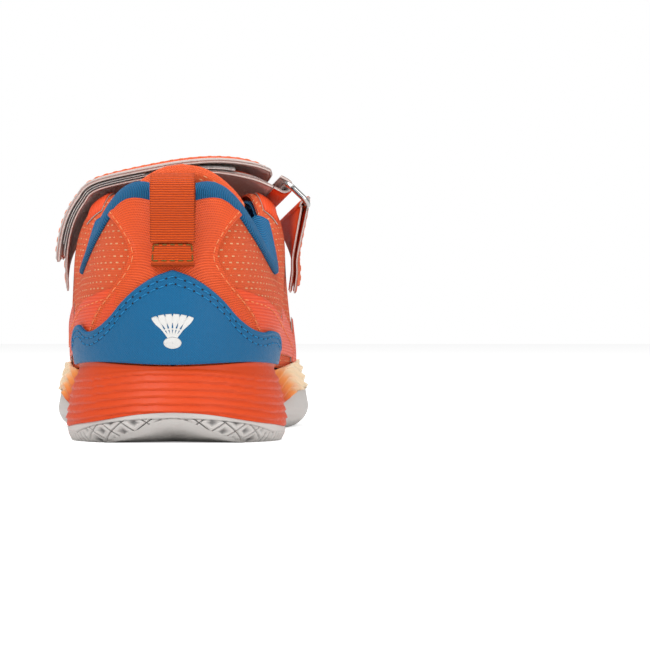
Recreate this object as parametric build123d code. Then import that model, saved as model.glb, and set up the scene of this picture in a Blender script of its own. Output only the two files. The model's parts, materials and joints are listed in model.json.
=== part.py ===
from build123d import *
import os

import numpy as np

# A child's left court shoe with a hook-and-loop strap, in millimetres.
# The origin is on the ground under the middle of the heel. +Y points to the toe, +Z up, +X to the inner side.

# ---- Driving dimensions --------------------------------------------------------------------------
heel_back_y = -36.0            # rearmost line of the sole
toe_tip_y = 199.0              # foremost line of the sole
width_scale = 1.0              # breadth of the whole last against the standard fitting

outsole_thickness = 4.5        # rubber under the foot
outsole_wrap = 3.5             # rubber that wraps up round the foam
sole_round = 2.0               # how far the bottom edge is drawn in
sole_taper = 3.0               # how far the top of the sole wall is drawn in
feather_inset = 6.0            # upper's lower edge, in from the sole's outline
shank_length = 62.0
shank_width = 28.0
shank_thickness = 1.6
board_thickness = 1.5
sockliner_thickness = 4.0

mesh_thickness = 1.2
overlay_thickness = 0.7
cover_thickness = 0.9
print_thickness = 0.25
stiffener_thickness = 0.9
lining_thickness = 0.8
collar_padding = 4.6
layer_gap = 0.25               # play between layers that are sewn or bonded together
moving_gap = 0.35              # play between pieces that move on each other

tongue_padding = 4.2
tongue_half_width = 20.5
tongue_arch = 0.027            # how fast the tongue falls away to its sides, per mm
tongue_cover_thickness = 1.0
tongue_hinge_y = 57.0
tongue_split = 0.9             # slot between the tongue's free top and the rest
binding_width = 3.0

strap_width = 26.0
strap_middle_y = 71.2
strap_thickness = 1.8
pile_thickness = 1.0
hook_thickness = 0.9

ring_wire = 2.0                # diameter of the ring's wire
ring_reach = 10.0              # from the strap's bar to the tab's bar
ring_play = 0.45               # play between the wire and what is folded round it
tab_thickness = 1.3
tab_length = 19.0

webbing_width = 13.8
webbing_thickness = 1.5
loop_gap = 6.6                 # widest space between the pull loop's legs
loop_foot_z = 54.6
loop_hinge_z = 61.7
loop_top_z = 83.6
loop_foot_gap = 0.4

# ---- The last: stations from the heel (0) along each side to the toe tip -------------------------
# Sole outline: distance along the shoe, then the outer and the inner side's distance from the middle line.
sole_rows = [
    (-25.0, 24.0, 24.0),
    (2.0, 34.8, 34.3),
    (35.0, 33.8, 31.0),
    (68.0, 34.8, 28.4),
    (100.0, 42.0, 34.3),
    (130.0, 46.8, 40.6),
    (160.0, 42.5, 38.8),
    (185.0, 27.5, 26.0),
]
tip_x = 2.0

# Top edge of the upper at the same stations: distance from the middle line, along the shoe and above the ground.
top_rows = [
    (15.5, -20.0, 77.8),
    (27.6, 3.0, 60.5),
    (28.6, 29.0, 60.0),
    (21.5, 58.0, 79.5),
    (13.5, 85.0, 73.0),
    (6.0, 112.0, 61.5),
    (0.9, 134.0, 51.5),
    (0.5, 153.0, 45.5),
]
heel_top = (0.0, -27.0, 76.4)
tip_top = (0.0, 163.0, 42.0)

# How the wall leaves the sole (outwards, up) and how it arrives at the top edge (outwards, down), heel to toe.
wall_rows = [
    (4.5, 18.0, 5.0, 22.0),
    (4.0, 20.0, 5.0, 20.0),
    (4.5, 18.0, 3.0, 12.0),
    (9.0, 22.0, 8.0, 12.0),
    (12.0, 28.0, 19.0, 3.0),
    (9.0, 32.0, 25.0, 2.5),
    (3.5, 26.0, 27.0, 5.0),
    (4.5, 18.0, 24.0, 4.5),
    (4.5, 14.0, 18.0, 5.0),
    (4.0, 12.0, 13.0, 4.2),
]

# Side profiles: distance along the shoe and height.
footbed_line = [(-40, 19.0), (0, 18.8), (40, 17.0), (80, 14.6), (120, 13.8), (160, 16.6), (200, 21.5)]
rim_line = [
    (-40, 23.6), (-24, 25.0), (-5, 25.0), (20, 22.8), (40, 20.8), (70, 20.0),
    (95, 20.6), (115, 22.0), (140, 23.0), (165, 23.5), (203, 26.0),
]
rubber_line = [
    (-40, 11.0), (-28, 7.4), (-10, 5.2), (60, 5.2), (85, 7.6), (110, 12.2), (140, 13.4), (170, 15.6), (203, 19.5),
]
ground_line = [(-37, 9.5), (-34.5, 5.2), (-30, 2.0), (-23, 0.0)]
toe_spring_line = [(135, 0.0), (160, 1.2), (182, 4.4), (203, 9.5)]
tongue_line = [(44, 90.5), (50, 88.6), (58, 85.2), (68, 80.8), (84, 72.9), (100, 64.3), (118, 53.4)]

ridge_gap = 0.30                # half the seam along the vamp
station_count = 2 * (len(sole_rows) + 1)
toe_station = len(sole_rows) + 1


def periodic_spline(points):
    """Return a function for the smooth closed curve through points at the stations 0, 1, 2 and so on."""
    points = np.array(points, dtype=float)
    count = len(points)
    rows = np.eye(count) * 4 + np.roll(np.eye(count), 1, axis=1) + np.roll(np.eye(count), -1, axis=1)
    slopes = np.linalg.solve(rows, 3 * (np.roll(points, -1, axis=0) - np.roll(points, 1, axis=0)))

    def curve(u):
        u = np.mod(u, count)
        first = np.minimum(np.floor(u).astype(int), count - 1)
        after = (first + 1) % count
        t = (u - first)[..., None]
        return (
            points[first] * (1 + 2 * t) * (1 - t) ** 2
            + slopes[first] * t * (1 - t) ** 2
            + points[after] * t**2 * (3 - 2 * t)
            + slopes[after] * t**2 * (t - 1)
        )

    return curve


def height(line, y):
    """Height of a side profile at the distance y along the shoe, as a smooth curve through its points."""
    knots = np.array(line, dtype=float)
    slopes = np.gradient(knots[:, 1], knots[:, 0])
    y = np.clip(y, knots[0, 0], knots[-1, 0])
    first = np.clip(np.searchsorted(knots[:, 0], y, side="right") - 1, 0, len(knots) - 2)
    span = knots[first + 1, 0] - knots[first, 0]
    t = (y - knots[first, 0]) / span
    return (
        knots[first, 1] * (1 + 2 * t) * (1 - t) ** 2
        + slopes[first] * span * t * (1 - t) ** 2
        + knots[first + 1, 1] * t**2 * (3 - 2 * t)
        + slopes[first + 1] * span * t**2 * (t - 1)
    )


def both_sides(heel, rows, tip):
    """Closed list of stations: heel, outer side forwards, toe tip, inner side backwards."""
    outer = [(-width_scale * row[0], *row[2:]) for row in rows]
    inner = [(width_scale * row[1], *row[2:]) for row in rows]
    return np.array([heel, *outer, tip, *reversed(inner)])


sole_points = both_sides(
    (0.0, heel_back_y), [(out, inn, y) for y, out, inn in sole_rows], (tip_x, toe_tip_y)
)
sole_curve = periodic_spline(sole_points)


def outward(u):
    """Unit normal of the sole's outline, pointing out of the shoe."""
    step = 1e-3
    along = sole_curve(u + step) - sole_curve(u - step)
    normal = np.stack([-along[..., 1], along[..., 0]], axis=-1)
    return normal / np.linalg.norm(normal, axis=-1, keepdims=True)


def last_curves():
    """The four guide curves of the upper: feather line, two shaping curves and top edge."""
    stations = np.arange(station_count, dtype=float)
    away = outward(stations)
    flat = sole_points - away * feather_inset
    feather = np.column_stack([flat, height(footbed_line, flat[:, 1])])
    top = both_sides(heel_top, [(x, x, y, z) for x, y, z in top_rows], tip_top)
    shape = np.array(wall_rows + wall_rows[-2:0:-1])
    rising = feather + np.column_stack([away * shape[:, :1], shape[:, 1]])
    arriving = top + np.column_stack([away * shape[:, 2:3], -shape[:, 3]])
    return [periodic_spline(points) for points in (feather, rising, arriving, top)]


feather_curve, rising_curve, arriving_curve, top_curve = last_curves()


def last(u, v):
    """Outer face of the knit upper: a cubic from the feather line (v = 0) to the top edge (v = 1)."""
    v = np.asarray(v, dtype=float)[..., None]
    top = top_curve(u)
    on_outer = np.mod(u, station_count) < toe_station
    top[..., 0] = np.where(on_outer, np.minimum(top[..., 0], -ridge_gap), np.maximum(top[..., 0], ridge_gap))
    return (
        feather_curve(u) * (1 - v) ** 3
        + rising_curve(u) * 3 * v * (1 - v) ** 2
        + arriving_curve(u) * 3 * v**2 * (1 - v)
        + top * v**3
    )


def skin(u, v, depth=0.0):
    """Point of the upper at a depth measured outwards along its normal."""
    u, v = np.broadcast_arrays(np.asarray(u, dtype=float), np.asarray(v, dtype=float))
    step = 1e-3
    inside = np.minimum(v, 0.97)
    across = last(u, inside + step) - last(u, inside - step)
    along = last(u + step, inside) - last(u - step, inside)
    normal = np.cross(across, along)
    normal = normal / np.linalg.norm(normal, axis=-1, keepdims=True)
    return last(u, v) + normal * np.asarray(depth)[..., None]


def level_at(u, z):
    """Height parameter v at which the upper's wall reaches the height z, at each station u."""
    low = np.full(np.shape(u), -0.25)
    high = np.full(np.shape(u), 1.0)
    for _ in range(40):
        middle = (low + high) / 2
        below = last(u, middle)[..., 2] < z
        low = np.where(below, middle, low)
        high = np.where(below, high, middle)
    return (low + high) / 2


# ---- Solids from grids ---------------------------------------------------------------------------
def surface(grid):
    """Smooth face through a grid of points."""
    rows = [[Vector(*point) for point in row] for row in grid.tolist()]
    return Face.make_surface_from_array_of_points(rows, tol=1e-3, min_deg=1, max_deg=3)


def slab(inner, outer):
    """Closed solid between two grids of points with the same layout."""
    inner_face = surface(inner)
    outer_face = surface(outer)
    walls = []
    for edge in outer_face.edges():
        partner = min(inner_face.edges(), key=lambda other: (other.center() - edge.center()).length)
        walls.append(Face.make_surface_from_curves(edge, partner))
    solid = Solid(Shell([inner_face, outer_face] + walls))
    return solid if solid.volume > 0 else -solid


def panel(u_range, low, high, inner, outer, columns=24, rows=7):
    """Layer of the upper over the stations u_range, between the levels low(u) and high(u)."""
    u = np.linspace(*u_range, columns)[:, None]
    t = np.linspace(0, 1, rows)[None, :]
    bottom = low(u) if callable(low) else np.full(u.shape, low)
    top = high(u) if callable(high) else np.full(u.shape, high)
    v = bottom + (top - bottom) * t
    u = np.broadcast_to(u, v.shape)
    depth = [value(v) if callable(value) else np.full(v.shape, value) for value in (inner, outer)]
    return slab(skin(u, v, depth[0]), skin(u, v, depth[1]))


def ribbon(grid, inner, outer):
    """Layer between two offsets of a grid, measured along the grid's own upward normal."""
    along = np.gradient(grid, axis=1)
    across = np.gradient(grid, axis=0)
    normal = np.cross(across, along)
    normal = normal / np.linalg.norm(normal, axis=-1, keepdims=True)
    if normal[..., 2].mean() < 0:
        normal = -normal
    return slab(grid + normal * inner, grid + normal * outer)


def outline(z, depth):
    """Level closed edge of the upper's wall at the height z, grown outwards by depth."""
    u = np.linspace(0, station_count, 4 * station_count, endpoint=False)
    points = skin(u, level_at(u, z), depth(u) if callable(depth) else depth)
    return Wire(Spline([Vector(x, y, z) for x, y, _ in points.tolist()], periodic=True))


def wall_block(depth):
    """Solid that fills the inside of the upper's lower wall, grown outwards by depth."""
    return Solid.make_loft([outline(z, depth) for z in (11.0, 28.6)])


def sole_wire(z, inset):
    """Sole outline at the height z, drawn in by inset."""
    u = np.linspace(0, station_count, 3 * station_count, endpoint=False)
    points = sole_curve(u) - outward(u) * inset
    return Wire(Spline([Vector(x, y, z) for x, y in points.tolist()], periodic=True))


def band(lower, upper, half_width=70.0):
    """Solid between two side profiles, right across the shoe."""
    upper_edge = Spline([Vector(-half_width, y, z) for y, z in upper])
    lower_edge = Spline([Vector(-half_width, y, z) for y, z in reversed(lower)])
    edges = [upper_edge, lower_edge, Line(upper_edge @ 1, lower_edge @ 0), Line(lower_edge @ 1, upper_edge @ 0)]
    return extrude(Face(Wire(edges)), amount=2 * half_width, dir=(1, 0, 0))


def raised(line, lift, ends=(-60.0, 230.0)):
    """Side profile lifted by an amount and drawn out level to both ends."""
    inner = [(y, float(height(line, y)) + lift) for y in np.linspace(line[0][0], line[-1][0], 17)]
    return [(ends[0], inner[0][1]), *inner, (ends[1], inner[-1][1])]


def save(name, shape):
    """Write one sub-part."""
    export_step(shape, f"parts/{name}.step")


os.makedirs("parts", exist_ok=True)

# ---- Sole unit -----------------------------------------------------------------------------------
def under_cut(curve_points, corner):
    """Solid below a curved stretch of the ground line, to be cut away."""
    curve = Spline([Vector(-80, y, z) for y, z in curve_points])
    return extrude(Face(Wire([curve, *Polyline(curve @ 1, Vector(-80, *corner), curve @ 0).edges()])), 160, (1, 0, 0))


def above(profile, top=60.0):
    """Solid above a side profile, right across the shoe."""
    return band(profile, [(profile[0][0], top), (80.0, top), (profile[-1][0], top)])


sole_block = Solid.make_loft(
    [
        sole_wire(0.0, sole_round),
        sole_wire(2.0, sole_round * 0.4),
        sole_wire(7.0, 0.0),
        sole_wire(14.0, sole_taper * 0.25),
        sole_wire(34.0, sole_taper * 1.3),
    ]
)
sole_block -= under_cut(ground_line, (ground_line[0][0], 0.0))
sole_block -= under_cut(toe_spring_line, (toe_spring_line[-1][0], 0.0))

plug_wires = [sole_wire(outsole_thickness, outsole_wrap + 1.0), sole_wire(36.0, outsole_wrap + sole_taper)]
plug = Solid.make_loft(plug_wires)
plug -= under_cut([(-45.0, 18.0), (-33.0, 10.0), (-24.0, outsole_thickness)], (-45.0, outsole_thickness))
plug -= under_cut([(y, z + outsole_thickness) for y, z in toe_spring_line], (203.0, outsole_thickness))

above_rubber = above(raised(rubber_line, 0.0))
below_rim = band(raised(footbed_line, -60.0), raised(rim_line, 0.0))
above_footbed = above(raised(footbed_line, 0.0))
toe_bulge = 3.8                # how much wider the pocket is at the toe, where the wall is rounder than the pocket
toe_reach = 3.8                # how far round that goes, in stations


def pocket_depth(u):
    """How far the pocket for the upper stands off its mesh at each station."""
    near_toe = np.cos(np.pi / 2 * np.clip((u - toe_station) / toe_reach, -1, 1)) ** 2
    return overlay_thickness + 3.5 * layer_gap + toe_bulge * near_toe


foot_space = wall_block(pocket_depth) & above_footbed

shank = Pos(-1.0, 52.0, outsole_thickness) * extrude(
    SlotOverall(shank_length, shank_width, rotation=90).face(), shank_thickness
)
outsole = sole_block - above_rubber - plug
midsole = (sole_block & above_rubber & below_rim) + (plug & below_rim) - foot_space - shank


def footbed_sheet(low, high, inset):
    """Sheet that follows the footbed between two heights above it."""
    sheet = band(raised(footbed_line, low), raised(footbed_line, high))
    return wall_block(-inset) & sheet


inner_play = mesh_thickness + stiffener_thickness + lining_thickness + 5 * layer_gap
board_top = layer_gap + board_thickness
board = footbed_sheet(layer_gap, board_top, mesh_thickness + layer_gap)
sockliner = footbed_sheet(board_top + layer_gap, board_top + layer_gap + sockliner_thickness, inner_play + layer_gap)

save("outsole", outsole)
save("midsole", midsole)
save("shank_plate", shank)
save("insole_board", board)
save("sockliner", sockliner)

# ---- Upper ---------------------------------------------------------------------------------------
wall_foot = 0.12               # level at which the layers above the insole board begin
seam = 0.008                   # half the seam between the two mesh halves, in stations


def mirror_range(u_range):
    """The same stretch of stations on the inner side."""
    return (station_count - u_range[1], station_count - u_range[0])


outer_half = (seam, toe_station - seam)
save("lateral_upper", panel(outer_half, 0.075, 0.985, -mesh_thickness, 0.0, 40, 9))
save("medial_upper", panel(mirror_range(outer_half), 0.075, 0.985, -mesh_thickness, 0.0, 40, 9))

first_layer = layer_gap
second_layer = first_layer + overlay_thickness + layer_gap
cover_layer = second_layer + layer_gap
print_layer = cover_layer + cover_thickness + layer_gap / 2


def heel_peak(u):
    """Upper edge of the counter cover: a low peak at the back that falls away to both sides."""
    return 0.56 - 0.36 * np.clip(np.abs(u) / 1.55, 0, 1) ** 0.85


save("heel_overlay", panel((-1.15, 1.15), 0.14, 0.96, first_layer, first_layer + overlay_thickness, 18, 9))
save("counter_cover", panel((-1.55, 1.55), 0.13, heel_peak, cover_layer, cover_layer + cover_thickness, 24, 7))
save("counter_print", panel((-0.34, 0.34), 0.24, 0.40, print_layer, print_layer + print_thickness, 7, 5))

low_side = (1.7, 5.6)


def side_overlay_top(u):
    """Upper edge of a side overlay: highest behind, falling forwards."""
    forwards = np.minimum(u, station_count - u)
    return 0.36 - 0.14 * np.clip((forwards - low_side[0]) / (low_side[1] - low_side[0]), 0, 1)


film = (first_layer, first_layer + overlay_thickness)
toe_range = (5.7, station_count - 5.7)
eyestay_range = (3.7, 6.2)
save("lateral_overlay", panel(low_side, 0.14, side_overlay_top, *film))
save("medial_overlay", panel(mirror_range(low_side), 0.14, side_overlay_top, *film))
save("toe_overlay", panel(toe_range, 0.14, 0.36, *film, 30, 6))
save("lateral_eyestay", panel(eyestay_range, 0.80, 0.94, *film, 14, 5))
save("medial_eyestay", panel(mirror_range(eyestay_range), 0.80, 0.94, *film, 14, 5))

stiff_outer = -mesh_thickness - 1.6 * layer_gap
stiff_inner = stiff_outer - stiffener_thickness
lining_outer = stiff_inner - 1.6 * layer_gap
lining_inner = lining_outer - lining_thickness
collar_range = (-3.5, 3.5)
vamp_range = (3.55, toe_station - 0.03)


def collar_depth(v):
    """Depth of the collar's foam: nothing low on the wall and full round the ankle."""
    ease = np.clip((v - wall_foot) / 0.45, 0, 1)
    return lining_outer - 0.5 - collar_padding * ease * ease * (3 - 2 * ease)


def collar_lining_outer(v):
    """Outer face of the collar's lining, against the foam."""
    return collar_depth(v) - layer_gap


def collar_lining_inner(v):
    """Inner face of the collar's lining."""
    return collar_lining_outer(v) - lining_thickness


save("heel_stiffener", panel((-2.4, 2.4), 0.12, 0.62, stiff_inner, stiff_outer))
save("toe_stiffener", panel((7.6, station_count - 7.6), 0.12, 0.55, stiff_inner, stiff_outer, 14, 6))
save("collar_foam", panel(collar_range, wall_foot, 0.97, collar_depth, lining_outer, 36, 9))
save("collar_lining", panel(collar_range, wall_foot, 0.97, collar_lining_inner, collar_lining_outer, 36, 9))
save("lateral_lining", panel(vamp_range, wall_foot, 0.955, lining_inner, lining_outer, 26, 7))
save("medial_lining", panel(mirror_range(vamp_range), wall_foot, 0.955, lining_inner, lining_outer, 26, 7))

# ---- Tongue --------------------------------------------------------------------------------------
def tongue_grid(y_range, columns=7, rows=12):
    """Outer face of the tongue between two distances along the shoe."""
    y = np.linspace(*y_range, rows)[None, :]
    narrowing = np.interp(y, [60.0, 116.0], [1.0, 0.6])
    x = np.linspace(-1, 1, columns)[:, None] * tongue_half_width * narrowing
    return np.stack([x, y + 0 * x, height(tongue_line, y) - tongue_arch * x * x], axis=-1)


tongue_layers = {
    "cover": (-tongue_cover_thickness, 0.0),
    "pad": (-tongue_cover_thickness - layer_gap - tongue_padding, -tongue_cover_thickness - layer_gap),
}
lining_face = tongue_layers["pad"][0] - layer_gap
tongue_layers["lining"] = (lining_face - lining_thickness, lining_face)
tongue_end_y = 47.6
for layer, (inner, outer) in tongue_layers.items():
    body = tongue_grid((tongue_hinge_y + tongue_split / 2, 114.0))
    free_top = tongue_grid((tongue_end_y, tongue_hinge_y - tongue_split / 2), rows=5)
    save(f"tongue_{layer}", ribbon(body, inner, outer))
    save(f"tongue_top_{layer}", ribbon(free_top, inner, outer))
binding = tongue_grid((tongue_end_y - layer_gap - binding_width / 2, tongue_end_y - layer_gap), rows=3)
save("tongue_binding", ribbon(binding, lining_face - lining_thickness, 0.0))


# ---- Strap ---------------------------------------------------------------------------------------
def station_at(y, v, side_range):
    """Station between two limits where the upper's wall at the level v reaches the distance y."""
    low, high = np.full(np.shape(y), side_range[0]), np.full(np.shape(y), side_range[1])
    rising = last(high, v)[..., 1] > last(low, v)[..., 1]
    for _ in range(40):
        middle = (low + high) / 2
        short = (last(middle, v)[..., 1] < y) == rising
        low = np.where(short, middle, low)
        high = np.where(short, high, middle)
    return (low + high) / 2


outer_side = (2.6, 6.4)
inner_side = (station_count - 2.6, station_count - 6.4)
strap_y = np.linspace(-0.5, 0.5, 6) * strap_width + strap_middle_y
strap_lift = 1.6               # how far the strap stands off what it crosses
strap_seat = first_layer + overlay_thickness + strap_lift / 2
strap_anchor_level = 0.40
strap_ring_level = 0.89
ring_end_lift = 3.0            # how much higher the strap stands at its ring end
strap_crown = 3.7              # how far the strap bows up over the tongue between the two top edges


def strap_points(outer_levels, ring_level):
    """Underside of the strap: up the outer side, over the tongue and down to the ring, for each row across it."""
    columns = []
    for v in outer_levels:
        level = np.full(strap_y.shape, v)
        lift = 2 * strap_lift * (v - strap_anchor_level)
        columns.append(skin(station_at(strap_y, level, outer_side), level, strap_seat + lift))
    for v in (1.0, ring_level):
        level = np.full(strap_y.shape, v)
        columns.append(skin(station_at(strap_y, level, inner_side), level, strap_seat + ring_end_lift))
    outer_top, inner_top = columns[-3], columns[-2]
    for share, crown in ((0.36, 0.8), (0.57, 1.0), (0.79, 0.75)):
        over_tongue = outer_top + (inner_top - outer_top) * share + [0.0, 0.0, strap_crown * crown]
        columns.insert(-2, over_tongue)
    return np.stack(columns, axis=1)


def finer(grid, start, end, count):
    """Grid resampled evenly by length along its rows, between two shares of their length."""
    rows = []
    for row in grid:
        steps = np.concatenate([[0], np.cumsum(np.linalg.norm(np.diff(row, axis=0), axis=1))])
        curve = Spline([Vector(*point) for point in row.tolist()])
        knots = [curve.param_at_point(Vector(*point)) for point in row.tolist()]
        wanted = np.interp(np.linspace(start, end, count), steps / steps[-1], knots)
        rows.append([tuple(curve @ float(t)) for t in wanted])
    return np.array(rows)


strap_path = strap_points((strap_anchor_level, 0.5, 0.6, 0.7, 0.8, 0.9), strap_ring_level)
straight = np.linspace(0, 1, len(strap_y))[:, None]
strap_path[:, -1] = strap_path[0, -1] * (1 - straight) + strap_path[-1, -1] * straight
base_layer = (0.0, strap_thickness)
pile_layer = (base_layer[1] + layer_gap, base_layer[1] + layer_gap + pile_thickness)
hook_layer = (pile_layer[1] + moving_gap, pile_layer[1] + moving_gap + hook_thickness)
flap_layer = (hook_layer[1] + layer_gap, hook_layer[1] + layer_gap + strap_thickness)
save("strap_base", ribbon(finer(strap_path, 0.0, 1.0, 26), *base_layer))
save("strap_loop_patch", ribbon(finer(strap_path, 0.12, 0.86, 22), *pile_layer))
save("strap_hook_patch", ribbon(finer(strap_path, 0.16, 0.55, 14), *hook_layer))
save("strap_flap", ribbon(finer(strap_path, 0.10, 0.97, 18), *flap_layer))

# The fold runs round the ring's bar, from the end of the base to the end of the flap.
strap_end = strap_path[:, -1]
end_run = strap_path[:, -1] - strap_path[:, -2]
end_run = end_run.mean(axis=0) / np.linalg.norm(end_run.mean(axis=0))
bar_line = strap_end[-1] - strap_end[0]
bar_line = bar_line / np.linalg.norm(bar_line)
end_up = np.cross(bar_line, -end_run)
end_up = end_up / np.linalg.norm(end_up)
fold_inner = (flap_layer[0] - base_layer[1]) / 2
fold_middle = (flap_layer[0] + base_layer[1]) / 2
fold_start = 2.9               # from the strap's end to the ring's bar
fold_play = 0.6
bar_centre = strap_end + end_up * fold_middle + end_run * fold_start


def arc_grid(centre, ahead, up, radius, angles):
    """Rows of points round a bar: angle 0 points ahead and a right angle points up."""
    angles = np.radians(angles)[None, :, None]
    return centre[:, None] + radius * (np.cos(angles) * ahead + np.sin(angles) * up)


def fold_grid(radius):
    """Half turn round the bar with a straight leg at both ends, back to the strap's end."""
    turn = arc_grid(bar_centre, end_run, end_up, radius, np.linspace(-90, 90, 13))
    leg = end_run * (fold_start - fold_play)
    return np.concatenate([turn[:, :1] - leg, turn[:, :1] - leg / 2, turn, turn[:, -1:] - leg / 2, turn[:, -1:] - leg], 1)


save("strap_fold", slab(fold_grid(fold_inner), fold_grid(fold_inner + strap_thickness)))

# ---- Ring and its tab ----------------------------------------------------------------------------
bar_middle = (bar_centre[0] + bar_centre[-1]) / 2
ring_fall = 43.0               # angle of the ring below the level, down the inner side
ring_side = 4.0                # how far the ring stands out past the strap's edges
sideways = np.array([np.cos(np.radians(ring_fall)), 0.0, -np.sin(np.radians(ring_fall))])
sideways = sideways - bar_line * sideways.dot(bar_line)
sideways = sideways / np.linalg.norm(sideways)
ring_plane = Plane(
    origin=Vector(*(bar_middle + sideways * ring_reach / 2)),
    x_dir=Vector(*bar_line),
    z_dir=Vector(*np.cross(bar_line, sideways)),
)
ring_corner = 3.0
ring_length = float(np.linalg.norm(strap_end[-1] - strap_end[0])) + 2 * ring_side
ring_path = ring_plane * RectangleRounded(ring_length, ring_reach, ring_corner).wire()
ring_section = Plane(ring_path @ 0, z_dir=ring_path % 0) * Circle(ring_wire / 2)
save("strap_ring", sweep(ring_section, path=ring_path))

tab_bar = bar_centre + sideways * ring_reach
tab_radius = ring_wire / 2 + ring_play + tab_thickness / 2
tab_out = np.cross(bar_line, sideways)
tab_out = tab_out * np.sign(tab_out[0])


def tab_leg(levels, depth):
    """Points of one leg of the tab down the inner side of the upper."""
    columns = []
    for v in levels:
        level = np.full(strap_y.shape, v)
        columns.append(skin(station_at(strap_y, level, inner_side), level, depth))
    return np.stack(columns, axis=1)


tab_levels = (0.40, 0.48, 0.56)
tab_seat = strap_seat + strap_lift / 4 + tab_thickness / 2
tab_face = tab_seat + tab_thickness + layer_gap
tab_path = np.concatenate(
    [
        tab_leg(tab_levels, tab_seat),
        arc_grid(tab_bar, -sideways, tab_out, tab_radius, np.linspace(-75, 75, 7)),
        tab_leg(tab_levels[::-1], tab_face),
    ],
    axis=1,
)
save("ring_tab", ribbon(finer(tab_path, 0.0, 1.0, 30), -tab_thickness / 2, tab_thickness / 2))

# ---- Pull loop -----------------------------------------------------------------------------------
loop_seat = second_layer
half_base = 0.30               # half the width of the sewn base, in stations
sewn_base = panel(
    (-half_base, half_base),
    lambda u: level_at(u, loop_foot_z),
    lambda u: level_at(u, loop_hinge_z - loop_foot_gap),
    loop_seat,
    loop_seat + 2 * webbing_thickness + moving_gap,
    7,
    4,
)
save("pull_loop_base", sewn_base)
foot_level = level_at(np.array(0.0), loop_hinge_z)
loop_y = float(skin(np.array(0.0), foot_level, loop_seat + webbing_thickness + moving_gap)[1])
leg_foot = (webbing_thickness + moving_gap) / 2
leg_bow = (loop_gap + webbing_thickness) / 2
bow_z = loop_top_z - leg_bow - webbing_thickness / 2
loop_side = [
    (leg_foot, loop_hinge_z + loop_foot_gap),
    (leg_foot + 0.3, loop_hinge_z + 5.0),
    (leg_bow - 0.3, bow_z - 4.5),
    (leg_bow, bow_z),
    (leg_bow * 0.7071, bow_z + leg_bow * 0.7071),
]
loop_route = [(-y, z) for y, z in loop_side] + [(0.0, bow_z + leg_bow)] + loop_side[::-1]
loop_grid = np.array(
    [[(x, loop_y + y, z) for y, z in loop_route] for x in np.linspace(-0.5, 0.5, 3) * webbing_width]
)
save("pull_loop", ribbon(finer(loop_grid, 0.0, 1.0, 30), -webbing_thickness / 2, webbing_thickness / 2))
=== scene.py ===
"""A child's court shoe with a hook-and-loop strap: the visual model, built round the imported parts.

Lengths inside this file are in millimetres and become metres where a mesh is made. +Y points to the toe,
+Z up, +X to the inner side of the left foot; the origin is on the ground under the heel.
"""

import json
import logging
import math
from collections.abc import Callable
from dataclasses import dataclass, field
from enum import Enum

import bpy
import mathutils
import numpy as np
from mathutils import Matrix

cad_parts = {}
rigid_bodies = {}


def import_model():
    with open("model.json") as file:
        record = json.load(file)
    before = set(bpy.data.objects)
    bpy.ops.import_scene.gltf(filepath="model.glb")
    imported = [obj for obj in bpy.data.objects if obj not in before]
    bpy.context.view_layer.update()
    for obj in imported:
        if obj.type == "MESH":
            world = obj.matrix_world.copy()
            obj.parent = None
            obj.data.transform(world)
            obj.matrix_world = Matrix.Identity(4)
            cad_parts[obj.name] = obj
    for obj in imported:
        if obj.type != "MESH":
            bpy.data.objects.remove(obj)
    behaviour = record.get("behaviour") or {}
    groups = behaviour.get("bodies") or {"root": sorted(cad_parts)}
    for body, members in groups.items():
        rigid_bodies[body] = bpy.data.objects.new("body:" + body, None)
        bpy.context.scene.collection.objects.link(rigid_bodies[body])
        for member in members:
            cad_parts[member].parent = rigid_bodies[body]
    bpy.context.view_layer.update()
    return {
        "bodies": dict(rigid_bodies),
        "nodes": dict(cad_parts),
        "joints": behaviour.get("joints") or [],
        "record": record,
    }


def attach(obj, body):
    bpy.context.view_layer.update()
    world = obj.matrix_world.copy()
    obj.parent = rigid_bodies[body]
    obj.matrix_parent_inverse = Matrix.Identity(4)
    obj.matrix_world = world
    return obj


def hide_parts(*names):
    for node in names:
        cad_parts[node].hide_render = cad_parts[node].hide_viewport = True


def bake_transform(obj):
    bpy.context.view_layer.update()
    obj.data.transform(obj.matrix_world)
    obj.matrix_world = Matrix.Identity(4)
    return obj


MM = 0.001
log = logging.getLogger("court_shoe")
Array = np.ndarray
Curve = Callable[[Array], Array]


class Body(Enum):
    """The rigid bodies that pieces ride on."""

    SHOE = "shoe"
    FLAP = "flap"
    RING = "ring"
    LOOP = "loop"
    TONGUE = "tongue_top"


# ---- The last ------------------------------------------------------------------------------------
def periodic_spline(points: Array) -> Curve:
    """Smooth closed curve through points at the stations 0, 1, 2 and so on.

    The slopes m solve m[i-1] + 4 m[i] + m[i+1] = 3 (p[i+1] - p[i-1]), and each span is a Hermite cubic.

    Args:
        points: one row for each station.

    Returns:
        A function from stations to points.
    """
    count = len(points)
    rows = np.eye(count) * 4 + np.roll(np.eye(count), 1, axis=1) + np.roll(np.eye(count), -1, axis=1)
    slopes = np.linalg.solve(rows, 3 * (np.roll(points, -1, axis=0) - np.roll(points, 1, axis=0)))

    def curve(u: Array) -> Array:
        """Point at each station u."""
        u = np.mod(u, count)
        first = np.minimum(np.floor(u).astype(int), count - 1)
        after = (first + 1) % count
        t = (u - first)[..., None]
        start = points[first] * (1 + 2 * t) * (1 - t) ** 2 + slopes[first] * t * (1 - t) ** 2
        end = points[after] * t**2 * (3 - 2 * t) + slopes[after] * t**2 * (t - 1)
        return start + end

    return curve


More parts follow.
